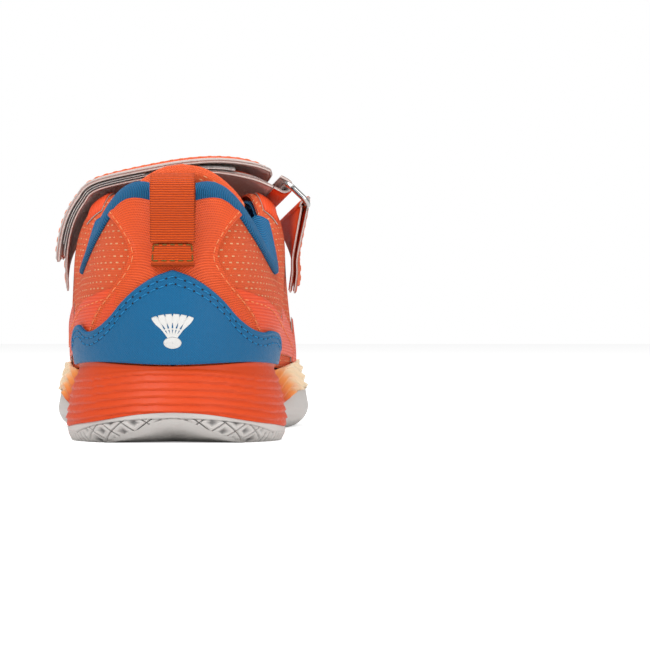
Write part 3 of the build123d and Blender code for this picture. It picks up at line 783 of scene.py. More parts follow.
class Finishes:
    """The finishes used on the shoe."""

    # In the emboss, ribs and tread finishes the second colour is painted shade for pits, rib valleys and tread
    # grooves.
    MESH = Finish("knit_mesh", Tint.ORANGE, Tint.CREAM, 0.72, 0.0003, 0.05, pattern="knit",
        sizes=(0.075, 0.055))
    HEEL = Finish("heel_synthetic", Tint.ORANGE, (0.66, 0.06, 0.015), 0.40, 0.00030, pattern="emboss",
        sizes=(0.105, 0.085))
    FILM = Finish("side_film", (0.80, 0.085, 0.022), (0.70, 0.06, 0.015), 0.44, 0.00008, pattern="ribs",
        sizes=(0.10, 0.3))
    COVER = Finish("counter_synthetic", Tint.BLUE, Tint.BLUE_SHADE_AND_SOCK, 0.42, 0.00014, pattern="emboss",
        sizes=(0.085, 0.05))
    PRINT = Finish("counter_print", Tint.WHITE, (0.66, 0.65, 0.63), 0.55, 0.00003, pattern="emboss",
        sizes=(0.085, 0.05))
    LINING = Finish("collar_knit", (0.003, 0.155, 0.350), Tint.BLUE_SHADE_AND_SOCK, 0.80, 0.0004, 0.05, pattern="ribs",
        sizes=(0.09, 0.05))
    SOCK = Finish("sock_knit", Tint.BLUE_SHADE_AND_SOCK, (0.01, 0.03, 0.08), 0.85, 0.0002, 0.2, pattern="ribs",
        sizes=(0.12, 0.12))
    WEBBING = Finish("pull_webbing", Tint.WEBBING, Tint.WEBBING_RIB_SHADE, 0.62, 0.00035, pattern="ribs",
        sizes=(0.075, 0.05))
    RUBBER = Finish("outsole_rubber", Tint.RUBBER, (0.20, 0.19, 0.185), 0.5, 0.00003, pattern="tread",
        tone=0.06)
    FOAM = Finish("midsole_foam", Tint.FOAM, Tint.AMBER, 0.45, 0.00004, pattern="foam")
    STRAP = Finish("strap_synthetic", Tint.ORANGE, (0.70, 0.08, 0.02), 0.5, 0.00010, pattern="emboss",
        sizes=(0.09, 0.07))
    STRAP_EDGE = Finish("strap_edge", Tint.GREY_PINK, (0.62, 0.52, 0.48), 0.7, 0.0002, 0.2,
        sizes=(0.05, 0.05))
    PILE = Finish("loop_pile", Tint.PILE, (0.78, 0.75, 0.72), 0.95, 0.0006, 0.6, sizes=(0.035, 0.03))
    THREAD = Finish("orange_thread", (0.85, 0.20, 0.07), (0.90, 0.30, 0.12), 0.6, 0.0001, sizes=(0.04, 0.04))
    THREAD_BLUE = Finish("blue_thread", (0.015, 0.24, 0.50), (0.01, 0.17, 0.40), 0.6, 0.0001,
        sizes=(0.04, 0.04))
    THREAD_OLIVE = Finish("olive_thread", Tint.OLIVE, (0.18, 0.12, 0.02), 0.6, 0.0001, sizes=(0.04, 0.04))
    # painted shade: near-black discs for the dark inside of the needle holes
    HOLE = Finish("needle_hole", Tint.DARK, (0.02, 0.02, 0.03), 0.8, 0.0001, sizes=(0.04, 0.04))
    SEAM_EDGE = Finish("cut_edge", (0.55, 0.50, 0.46), (0.65, 0.60, 0.56), 0.7, 0.0001, sizes=(0.04, 0.04))
    CHROME = Finish("plated_wire", (0.62, 0.61, 0.60), (0.55, 0.54, 0.53), 0.16, 0.00002, metallic=1.0,
        sizes=(0.2, 0.2))
    BOARD = Finish("lasting_board", (0.55, 0.50, 0.42), (0.48, 0.44, 0.36), 0.9, 0.0002, sizes=(0.06, 0.06))
    PLATE = Finish("shank_plastic", (0.02, 0.02, 0.022), (0.03, 0.03, 0.03), 0.5, 0.00005, sizes=(0.1, 0.1))


# ---- Thread work ---------------------------------------------------------------------------------
def stitches(name: str, path: Array, normal: Array, finish: bpy.types.Material, length: float = 2.2,
    gap: float = 0.9,
             thick: float = 0.42) -> bpy.types.Object:
    """Row of sewn stitches along a path: each is a flat-bottomed bead, longer than wide, that dips at both ends.

    Args:
        name: name of the new piece.
        path: points of the row in mm.
        normal: outward direction at each point.
        finish: the thread's material.
        length: of one stitch in mm.
        gap: between two stitches in mm.
        thick: width of the thread in mm.

    Returns:
        The new object.
    """
    steps = np.linalg.norm(np.diff(path, axis=0), axis=1)
    run = np.concatenate([[0.0], np.cumsum(steps)])
    count = max(1, int((run[-1] + gap) / (length + gap)))
    pitch = (run[-1] + gap) / count
    begin = np.arange(count) * pitch
    at = begin[:, None] + np.linspace(0, pitch - gap, 5)[None, :]
    place = np.stack([np.interp(at, run, path[:, k]) for k in range(3)], -1)
    up = unit(np.stack([np.interp(at, run, normal[:, k]) for k in range(3)], -1))
    forward = unit(np.gradient(place, axis=1))
    side = unit(np.cross(forward, up))
    angle = np.linspace(0, 2 * math.pi, 6, endpoint=False)
    hump = np.array([-0.25, 0.5, 0.62, 0.5, -0.25])[None, :, None, None]
    size = np.array([0.55, 1.0, 1.0, 1.0, 0.55])[None, :, None, None] * thick / 2
    ring = side[:, :, None] * np.cos(angle)[None, None, :, None] + up[:, :, None] * np.sin(angle)[None, None,
        :, None]
    points = place[:, :, None] + ring * size + up[:, :, None] * hump * thick * 0.5
    body = quads(5, 6, ring=True)[None] + (np.arange(count) * 30)[:, None, None]
    start = np.arange(6)[None, :] + (np.arange(count) * 30)[:, None]
    return mesh_piece(name, points, [body.reshape(-1, 4), start, start[:, ::-1] + 24], [finish] * 3)


def holes(name: str, path: Array, normal: Array, finish: bpy.types.Material, pitch: float = 3.0,
    radius: float = 0.32) -> bpy.types.Object:
    """Needle holes along a path: small dark discs that lie just over the surface, painted shade for the dark inside
    of each hole.
    """
    steps = np.linalg.norm(np.diff(path, axis=0), axis=1)
    run = np.concatenate([[0.0], np.cumsum(steps)])
    at = np.linspace(0, run[-1], max(2, int(run[-1] / pitch) + 1))
    place = np.stack([np.interp(at, run, path[:, k]) for k in range(3)], -1)
    up = unit(np.stack([np.interp(at, run, normal[:, k]) for k in range(3)], -1))
    side = unit(np.cross(up, unit(np.gradient(place, axis=0))))
    fore = np.cross(side, up)
    angle = np.linspace(0, 2 * math.pi, 7, endpoint=False)
    ring = side[:, None] * np.cos(angle)[None, :, None] + fore[:, None] * np.sin(angle)[None, :, None]
    rim = place[:, None] + ring * radius + up[:, None] * 0.04
    points = np.concatenate([rim, (place - up * 0.06)[:, None], (place + up * 0.02)[:, None]], 1)
    base = (np.arange(len(at)) * 9)[:, None, None]
    edge = np.arange(7)
    top = np.stack([edge, np.roll(edge, -1), np.full(7, 8)], 1)[None] + base
    under = np.stack([np.roll(edge, -1), edge, np.full(7, 7)], 1)[None] + base
    return mesh_piece(name, points, [top.reshape(-1, 3), under.reshape(-1, 3)], [finish] * 2)


# ---- Sub-assemblies ------------------------------------------------------------------------------
@dataclass
class Workshop:
    """What every sub-assembly shares: the last, the finishes and the frame's joints."""

    last: Last
    wardrobe: Wardrobe
    frame: dict

    def joint(self, name: str) -> dict:
        """The frame's joint of that name."""
        return next(joint for joint in self.frame["joints"] if joint["name"] == name)

    def settle(self, piece: bpy.types.Object, body: Body, *nodes: str) -> bpy.types.Object:
        """Let a piece ride on a body and stand for the plain nodes."""
        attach(piece, body.value)
        if nodes:
            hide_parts(*nodes)
        return piece


@dataclass
class SubAssembly:
    """A group of pieces that is made together."""

    shop: Workshop

    @property
    def last(self) -> Last:
        """The shape that the shoe is built on."""
        return self.shop.last

    def dress(self, finish: Finish) -> bpy.types.Material:
        """Material of a finish."""
        return self.shop.wardrobe.dress(finish)

    def layer(
        self,
        name: str,
        u: Array,
        v: Array,
        inner: float,
        thick: float,
        finish: bpy.types.Material | list[bpy.types.Material],
        edge: float = 0.6,
        lift: Array | float = 0.0,
    ) -> bpy.types.Object:
        """Sheet on the last with rounded edges.

        Args:
            name: the piece's name.
            u: grid of stations.
            v: grid of levels.
            inner: depth of the hidden face in mm.
            thick: thickness in mm.
            finish: material, or three for the face, the back and the cut edge.
            edge: how far in from the border the sheet reaches its full thickness.
            lift: extra height of the outer face over the grid.

        Returns:
            The new object.
        """
        flat = self.last.skin(u, v, inner)
        share = rounded(flat, edge)
        outer = self.last.skin(u, v, inner + thick * (0.45 + 0.55 * share) + np.asarray(lift) * share)
        return closed_sheet(name, outer, flat, finish)

    def seam(self, name: str, u: Array, v: Array, depth: float, thread: Finish, holes_too: bool = False,
        **sizes: float) -> None:
        """Row of stitches along stations and levels, with needle holes if wanted."""
        path, normal = self.last.skin(u, v, depth), self.last.normal(u, v)
        self.shop.settle(stitches(name, path, normal, self.dress(thread), **sizes), Body.SHOE)
        if holes_too:
            self.shop.settle(holes(f"{name}_holes", path, normal, self.dress(Finishes.HOLE)), Body.SHOE)


def grid(first: Array, second: Array) -> tuple[Array, Array]:
    """Two parameters spread over a grid, the first one down the rows."""
    return np.meshgrid(first, second, indexing="ij")


@dataclass
class SoleUnit(SubAssembly):
    """Outsole with its diamond tread and midsole with its ridges."""

    wrap_height: float = 10.0
    diamond: tuple[float, float] = (8.7, 5.6)
    recess: float = 1.25
    ridge_pitch: float = 2.3
    ridge_height: float = 0.75
    rim_play: float = 1.2

    def stations(self) -> Array:
        """Stations round the sole, close together at the heel and even elsewhere, the same on both sides."""
        run = np.linspace(0, self.last.count, 4001)
        length = self.last.arc_length(run)
        close = 0.28 + 0.9 * ease(60.0, 100.0, np.minimum(length, length[-1] - length))
        steps = np.concatenate([[0.0], np.cumsum(np.diff(length) / ((close[1:] + close[:-1]) / 2))])
        half = np.interp(np.linspace(0, steps[-1] / 2, int(steps[-1] / 2)), steps, run)
        return np.concatenate([half, self.last.count - half[-2:0:-1]])

    def wall(self, u: Array, z: Array) -> Array:
        """Inset of the sole's wall from its widest outline at a height: round below, tapering above."""
        away = np.minimum(self.last.arc_length(u), self.last.arc_length(self.last.count - u))
        corner = 0.5 + 0.6 * ease(12.0, 40.0, away)
        rolled = np.interp(z, [0.0, 0.6, 1.5, 3.0, 5.0, 7.0], [5.6, 3.9, 2.6, 1.2, 0.3, 0.0]) * corner
        return np.where(z < 7.0, rolled, np.interp(z, [7.0, 14.0, 34.0], [0.0, 1.3, 6.8]))

    def placed(self, u: Array, z: Array, inset: Array) -> Array:
        """Points at a height and an inset from the outline."""
        z = np.broadcast_to(z, np.broadcast_shapes(np.shape(u), np.shape(z)))
        flat = self.last.sole(u) - self.last.outward(u) * np.asarray(inset)[..., None]
        return np.concatenate([np.broadcast_to(flat, z.shape + (2,)), z[..., None]], axis=-1)

    def middle(self, u: Array, z: Array, share: float) -> Array:
        """Points drawn in to the middle line: a share of the way to the mean of both sides."""
        a, b = self.last.sole(u), self.last.sole(self.last.count - u)
        centre = (a + b) / 2
        centre[..., 1] = np.clip(centre[..., 1], -14.0, 175.0)
        flat = a * (1 - share) + centre * share
        return np.concatenate([flat, np.broadcast_to(z, flat.shape[:-1])[..., None]], axis=-1)

    def tread(self, s: Array, z: Array) -> Array:
        """Depth of the heel tread at the length s from the heel's middle and the height z.

        Diamonds lie on a skewed grid: with p = s/w + z/h and q = s/w - z/h, each cell sinks as a square pyramid,
        1 - 2 max(|frac p - 1/2|, |frac q - 1/2|), inside a plain border; grooves lie between the cells.
        """
        wide, tall = self.diamond
        p, q = s / wide + (z - 1.0) / tall, s / wide - (z - 1.0) / tall
        cell = np.maximum(np.abs(p - np.floor(p) - 0.5), np.abs(q - np.floor(q) - 0.5)) * 2
        pyramid = np.clip((0.62 - cell) / 0.5, 0, 1)
        groove = ease(0.90, 0.97, cell)
        top = 10.0 - 5.0 * (np.abs(s) / 42.0) ** 2
        inside = 1 - ease(top - 2.4, top - 2.0, z)
        ends = 1 - ease(33.0, 36.0, np.abs(s))
        bars = ease(0.2, 0.6, np.cos(2 * math.pi * s / 2.6)) * ease(34.0, 36.0,
            np.abs(s)) * (1 - ease(70.0, 76.0, np.abs(s)))
        low_bars = bars * (1 - ease(2.8, 3.4, z)) * 0.5
        line = np.exp(-(((z - top + 2.2) / 0.22) ** 2)) * (1 - ease(40.0, 44.0, np.abs(s))) * 0.4
        return (pyramid * 0.8 + groove * 0.7) * inside * ends + low_bars + line

    def ridges(self, s: Array, z: Array, total: float) -> Array:
        """Height of the midsole's ridges: slats that fan down from the heel, and flames that sweep along the front.

        The slat number is (z - top(s)) / pitch; each slat stands out most at its lower edge and falls away above it.
        """
        away = np.minimum(np.abs(s), total - np.abs(s))
        fall = ease(6.0, 46.0, away)
        number = (z - (21.4 - 2.6 * fall)) / (self.ridge_pitch + 0.1 * fall)
        share = number - np.floor(number)
        slat = (1 - share) ** 0.8 * ease(0.0, 0.08, share) * (1 - ease(0.55, 0.75, number))
        heel = slat * (1 - ease(60.0, 96.0, away))
        sweep = (z - 6.0) / 3.1 + 1.1 * np.sin(away / 17.0) + 0.5 * np.sin(away / 7.3 + 1.0) + away / 26.0
        flame = np.abs(sweep - np.round(sweep)) * 2
        front = ease(0.25, 0.9, flame) * ease(84.0, 112.0, away) * (1 - ease(22.0, 25.0, z))
        return heel + front * 1.6
    def rubber_top(self, u: Array) -> Array:
        """Height at which rubber ends and foam begins."""
        return profile(self.last.rubber_line, self.last.sole(u)[..., 1])

    def ground(self, u: Array) -> Array:
        """Height of the sole's lower edge, which curls up at the heel and the toe."""
        return profile(self.last.ground_line, self.last.sole(u)[..., 1])

    def build(self) -> None:
        """Make the rubber and the foam."""
        u = self.stations()
        length = self.last.arc_length(u)
        total = self.last.arc_length(np.array(float(self.last.count)))
        s = np.where(length > total / 2, length - total, length)[:, None]
        up = np.linspace(0, 1, 42)[None, :]
        low, high = self.ground(u)[:, None], self.rubber_top(u)[:, None]
        z = low + (high - low) * up
        inset = self.wall(u[:, None], z - low * 0.9) + self.recess * self.tread(s, z) * ease(0.02, 0.08, up)
        face = self.placed(u[:, None], z, inset)
        under = [self.middle(u, self.ground(u) * (1 - k) ** 1.5 * 0.9, k)[:, None] for k in (1.0, 0.8, 0.55,
            0.3, 0.14)]
        inside = [self.placed(u, high[:, 0] - 0.05, 3.4)[:, None],
            self.placed(u, low[:, 0] + 3.4, 4.2)[:, None]]
        cover = self.middle(u, 3.6 + 0 * u, 1.0)[:, None]
        belt = np.concatenate([*under, face, *inside, cover], 1)
        rubber = self.close("sole_rubber", belt, s, Finishes.RUBBER, "outsole")
        # painted shade: the tread's depth, kept as a point attribute, darkens the rubber in its pits and grooves
        dark = np.zeros(belt.shape[:2])
        dark[:, len(under) : len(under) + z.shape[1]] = np.clip(self.tread(s, z), 0, 1) * ease(0.02, 0.08, up)
        rubber.data.attributes.new("fade_and_pit_shade", "FLOAT", "POINT").data.foreach_set("value",
            dark.ravel().astype(np.float32))
        self.foam(u, s, float(total))

    def foam(self, u: Array, s: Array, total: float) -> None:
        """Make the foam, with its wall, its rim round the upper and the pocket inside."""
        low = self.rubber_top(u)[:, None] + 0.02
        high = profile(self.last.rim_line, self.last.sole(u)[:, 1])[:, None]
        up = spread(48, 0.3)[None, :]
        z = low + (high - low) * up
        wall = self.placed(u[:, None], z,
            self.wall(u[:, None], z) - self.ridge_height * self.ridges(s, z, total))
        level = self.last.level_at(np.broadcast_to(u[:, None], z.shape), z)
        held = self.last.skin(np.broadcast_to(u[:, None], z.shape), level, self.rim_play)
        away = self.last.outward(u)[:, None]
        short = np.einsum("ijk,ijk->ij", held[..., :2] - wall[..., :2],
            np.broadcast_to(away, wall[..., :2].shape))
        wall[..., :2] += np.maximum(short, 0)[..., None] * away
        top = self.last.level_at(u, high[:, 0] + 0.1)
        lip = [self.last.skin(u, top, 0.75)[:, None], self.last.skin(u, top - 0.012, 0.1)[:, None]]
        bed = profile(self.last.footbed_line, self.last.sole(u)[:, 1])
        deep = [self.last.skin(u, self.last.level_at(u, bed + 1.0), 0.3)[:, None]]
        floor = [self.middle(u, bed - 0.3, 0.5)[:, None], self.middle(u, bed - 0.3, 1.0)[:, None]]
        below = [self.middle(u, 4.2 + 0 * u, 1.0)[:, None], self.placed(u, low[:, 0] + 0.5, 4.4)[:, None]]
        points = np.concatenate([*below, self.placed(u, low[:, 0], 0.6)[:, None], wall, *lip, *deep, *floor],
            1)
        piece = self.close("sole_foam", points, s, Finishes.FOAM, "midsole")
        reach = points[..., 1].ravel()
        tall = points[..., 2].ravel()
        fade_and_pit_shade = ease(78.0, 132.0, reach + 1.4 * (tall - 14.0)) * (1 - ease(168.0, 196.0, reach) * 0.5)
        marks = piece.data.attributes.new("fade_and_pit_shade", "FLOAT", "POINT")
        marks.data.foreach_set("value", np.resize(fade_and_pit_shade, len(piece.data.vertices)).astype(np.float32))

    def close(self, name: str, points: Array, s: Array, finish: Finish, node: str) -> bpy.types.Object:
        """Close a belt of sections into a solid and put it in a node's place."""
        rows, columns = points.shape[:2]
        run = np.concatenate([[0.0], np.cumsum(np.linalg.norm(np.diff(points[0], axis=0), axis=-1))])
        uv = np.stack(np.broadcast_arrays(s / 10, run[None, :] / 10), -1)
        faces = facing(points.reshape(-1, 3), quads(rows, columns, ring=True))
        piece = mesh_piece(name, points, faces, self.dress(finish), uv)
        return self.shop.settle(piece, Body.SHOE, node)


@dataclass
class Upper(SubAssembly):
    """Knit halves with the synthetic layers sewn and bonded over them."""

    mesh: float = 1.2
    film: float = 0.7
    cover: float = 0.9
    play: float = 0.25
    waist: tuple[tuple[float, float], ...] = (
        (0.14, 1.62), (0.28, 1.40), (0.36, 1.25), (0.46, 0.99), (0.53, 0.84), (0.60, 0.73), (0.66, 0.68),
        (0.72, 0.73), (0.79, 0.90), (0.90, 1.20), (0.97, 1.35),
    )
    crown: tuple[tuple[float, float], ...] = (
        (0.0, 0.63), (0.25, 0.585), (0.46, 0.52), (0.66, 0.44), (0.85, 0.35), (1.05, 0.295), (1.27, 0.272),
        (1.38, 0.275), (1.62, 0.315), (1.80, 0.318), (1.95, 0.285), (2.10, 0.20),
    )

    def halves(self) -> None:
        """Knit of the outer and the inner side, which meet at the heel and the toe."""
        for name, start, end, node in (
            ("knit_outer_side", 0.008, self.last.toe - 0.008, "lateral_upper"),
            ("knit_inner_side", self.last.count - 0.008, self.last.toe + 0.008, "medial_upper"),
        ):
            u, v = grid(np.linspace(start, end, 220), np.linspace(0.075, 0.985, 60))
            self.shop.settle(self.layer(name, u, v, -self.mesh, self.mesh, self.dress(Finishes.MESH)),
                Body.SHOE, node)

    def heel(self) -> None:
        """Waisted heel overlay with a raised edge and a stitch row along both sides."""
        level = np.linspace(0.14, 0.965, 90)
        width = profile(self.waist, level)
        t = np.sin(np.linspace(-1, 1, 64) * np.pi / 2)
        u, v = width[None, :] * t[:, None], np.broadcast_to(level, (len(t), len(level)))
        inward = (1 - np.abs(t[:, None])) * width[None, :] * 21.0
        band = 0.28 * (1 - ease(2.3, 2.9, inward))
        cloth = [self.dress(Finishes.HEEL), self.dress(Finishes.HEEL), self.dress(Finishes.SEAM_EDGE)]
        piece = self.layer("heel_overlay_sheet", u, v, self.play, self.film, cloth, 0.5, band)
        self.shop.settle(piece, Body.SHOE, "heel_overlay")
        for side in (-1, 1):
            row = level[10:-3]
            at = side * (profile(self.waist, row) - 0.075)
            depth = self.play + self.film + 0.28
            self.seam(f"heel_seam_{side + 1}", at, row, depth, Finishes.THREAD, length=2.0, gap=0.8,
                thick=0.4)

    def counter(self) -> None:
        """Blue cover round the heel counter, with its two seams."""
        t = np.linspace(0, 1, 44)[None, :]
        station = np.sin(np.linspace(-1, 1, 150) * np.pi / 2 * 0.97) / np.sin(np.pi / 2 * 0.97) * 2.08
        top = self.crown_at(station)[:, None]
        v = 0.108 + (top - 0.108) * t
        u = np.broadcast_to(station[:, None], v.shape)
        from_top = (top - v) * 62.0
        bead = 0.22 * (1 - ease(0.9, 1.5, from_top))
        inner = 0.7 + self.play * 4
        cloth = [self.dress(Finishes.COVER), self.dress(Finishes.COVER), self.dress(Finishes.COVER)]
        piece = self.layer("counter_sheet", u, v, inner, self.cover, cloth, 0.7, bead)
        self.shop.settle(piece, Body.SHOE, "counter_cover")
        for number, drop in enumerate((2.3, 4.5)):
            at = np.linspace(-1.95, 1.95, 260)
            row = self.crown_at(at) - drop / 62.0
            depth = inner + self.cover
            self.seam(f"counter_seam_{number}", at, row, depth, Finishes.THREAD_BLUE, True, length=2.2,
                gap=0.8, thick=0.4)

    def crown_at(self, u: Array) -> Array:
        """Upper edge of the counter cover: higher ears on the outer side than on the inner side."""
        ear = np.exp(-(((np.abs(u) - 1.68) / 0.22) ** 2))
        return profile(self.crown, np.abs(u)) + np.where(u > 0, 0.02, -0.02) * ear

    def mark(self) -> None:
        """Plain printed mark: a shuttle made of a round cork and six spread feathers."""
        depth = 0.7 + self.play * 4 + self.cover + 0.03

        def place(x: Array, y: Array) -> tuple[Array, Array]:
            """Station and level of a point on the print, from millimetres across and up."""
            return x / 22.0, 0.315 + y / 62.0

        pieces = []
        t, w = grid(np.linspace(0, 1, 20), np.linspace(-0.5, 0.5, 5))
        for number in range(6):
            lean = (number - 2.5) * 0.21
            reach = 2.0 + t * 8.2
            wide = 0.65 + 1.25 * ease(0.35, 0.8, t) * (1 - 0.25 * ease(0.9, 1.0, t))
            x = np.sin(lean) * reach + w * wide * np.cos(lean)
            y = np.cos(lean) * reach * 0.95 - w * wide * np.sin(lean) - 5.0
            pieces.append((f"print_feather_{number}", x, y))
        r, a = grid(np.linspace(0.02, 1, 6), np.linspace(0, 2 * math.pi, 33))
        pieces.append(("print_cork", np.cos(a) * r * 2.4, np.sin(a) * r * 2.0 - 5.2))
        for number, up in enumerate((-0.4, 2.0)):
            x, w2 = grid(np.linspace(-1, 1, 24), np.linspace(-0.25, 0.25, 4))
            pieces.append((f"print_hoop_{number}", x * (1.9 + 0.28 * (up + 1.0) * 2.0),
                up + w2 - 0.5 * x * x))
        ink = self.dress(Finishes.PRINT)
        for name, x, y in pieces:
            u, v = place(x, y)
            piece = self.layer(name, u, v, depth, 0.12, ink, 0.3)
            self.shop.settle(piece, Body.SHOE, *(["counter_print"] if name == "print_cork" else []))

    def films(self) -> None:
        """Bonded films along the lower sides, round the toe and under the strap's edge."""
        cloth = [self.dress(Finishes.FILM), self.dress(Finishes.FILM), self.dress(Finishes.SEAM_EDGE)]
        for name, side, node in (("outer", 1, "lateral_overlay"), ("inner", -1, "medial_overlay")):
            station = np.linspace(0.8, 5.75, 140)
            top = profile(((0.8, 0.50), (1.3, 0.485), (1.7, 0.50), (2.2, 0.47), (3.0, 0.40), (4.0, 0.33),
                (5.75, 0.22)), station)
            v = 0.13 + (top[:, None] - 0.13) * np.linspace(0, 1, 26)[None, :]
            u = np.broadcast_to(side * station[:, None], v.shape)
            band = 0.18 * (1 - ease(2.2, 2.8, (top[:, None] - v) * 62.0))
            piece = self.layer(f"side_film_{name}", u, v, self.play, self.film, cloth, 0.5, band)
            self.shop.settle(piece, Body.SHOE, node)
            row = top[4:-4] - 3.4 / 62.0
            at = side * station[4:-4]
            self.seam(f"side_seam_{name}", at, row, self.play + self.film, Finishes.THREAD, length=1.9,
                gap=1.1, thick=0.4)
        u, v = grid(np.linspace(5.72, self.last.count - 5.72, 150), np.linspace(0.14, 0.36, 26))
        v = v - 0.03 + 0.06 * ease(5.7, 7.5, np.minimum(u, self.last.count - u)) * (v - 0.14) / 0.22
        self.shop.settle(self.layer("toe_film", u, v, self.play, self.film, cloth, 0.6), Body.SHOE,
            "toe_overlay")
        for name, side, node in (("outer", 1, "lateral_eyestay"), ("inner", -1, "medial_eyestay")):
            station = side * np.linspace(3.7, 6.2, 60)
            u, v = grid(station, np.linspace(0.80, 0.94, 14))
            piece = self.layer(f"throat_stay_{name}", u, v, self.play, self.film, cloth, 0.6)
            self.shop.settle(piece, Body.SHOE, node)

    def build(self) -> None:
        """Make the upper's layers."""
        self.halves()
        self.heel()
        self.counter()
        self.mark()
        self.films()


@dataclass
class Collar(SubAssembly):
    """Padded roll round the ankle, and the linings in front of it."""

    section: tuple[tuple[float, float], ...] = (
        (0.905, -1.45), (0.955, -1.40), (0.972, -0.60), (0.958, 0.30), (0.978, 1.35), (1.016, 1.30),
            (1.043, -0.35),
        (1.040, -2.20), (0.995, -4.20), (0.90, -6.50), (0.78, -7.40), (0.62, -7.20), (0.45, -6.30),
            (0.30, -4.80),
        (0.15, -3.70), (0.10, -3.20), (0.14, -2.70), (0.45, -2.70), (0.75, -2.60),
    )
    dips: tuple[tuple[float, float], ...] = (
        (0.0, 0.0), (0.44, 0.0), (0.91, -0.012), (1.18, -0.034), (1.45, -0.070), (1.83, -0.085),
            (2.6, -0.07), (3.6, -0.04),
    )

    def build(self) -> None:
        """Make the roll and the front linings."""
        u = np.linspace(-3.52, 3.52, 260)
        shape = np.array(self.section)
        t = np.linspace(0, len(shape), 96, endpoint=False)
        curve = periodic_spline(shape)(t)
        v, depth = np.broadcast_arrays(curve[None, :, 0], curve[None, :, 1] + 0 * u[:, None])
        high = ease(0.86, 0.98, v)
        outside = ease(-1.2, 0.2, depth)
        dip = profile(self.dips, np.abs(u))[:, None]
        v = v + dip * outside * (1 - ease(0.99, 1.03, v)) * high
        tuck = 1 - ease(3.1, 3.5, np.abs(u))[:, None] * 0.55
        depth = np.where(depth < -2.7, -2.7 + (depth + 2.7) * tuck, depth)
        stations = np.broadcast_to(u[:, None], v.shape)
        puff = 0.10 * np.sin(stations * 9.0) * np.sin(v * 14.0) * ease(-3.0, -5.0, depth)
        points = self.last.skin(stations, v, depth + puff)
        rows, columns = v.shape
        i, j = np.arange(rows - 1)[:, None], np.arange(columns)[None, :]
        after = (j + 1) % columns
        belt = np.stack([(a * columns + b + 0 * i).ravel() for a,
            b in ((i, j), (i + 1, j), (i + 1, after), (i, after))], 1)
        flat = points.reshape(-1, 3)
        belt = facing(flat, belt)
        caps = [np.arange(columns)[None, :], ((rows - 1) * columns + np.arange(columns))[None, ::-1]]
        around = np.concatenate([[0.0],
            np.cumsum(np.linalg.norm(np.diff(points[rows // 2], axis=0), axis=-1))])
        along = self.last.arc_length(u)
        uv = np.stack(np.meshgrid(around / 10, along / 10, indexing="xy"), -1)
        lining = self.dress(Finishes.LINING)
        roll = mesh_piece("collar_roll", flat, [belt, *caps], [lining] * 3, uv)
        self.shop.settle(roll, Body.SHOE, "collar_foam", "collar_lining")
        for name, side, node in (("outer", 1, "lateral_lining"), ("inner", -1, "medial_lining")):
            uu, vv = grid(side * np.linspace(3.5, self.last.toe - 0.03, 110), np.linspace(0.12, 0.975, 40))
            bulk = 0.8 + 1.6 * ease(0.62, 0.9, vv) * (1 - ease(4.6, 6.4, np.abs(uu)))
            outer = self.last.skin(uu, vv, -2.6 + 0 * uu)
            inner = self.last.skin(uu, vv, -2.6 - bulk * (0.4 + 0.6 * rounded(outer, 2.0)))
            piece = closed_sheet(f"front_lining_{name}", inner, outer, lining)
            self.shop.settle(piece, Body.SHOE, node)


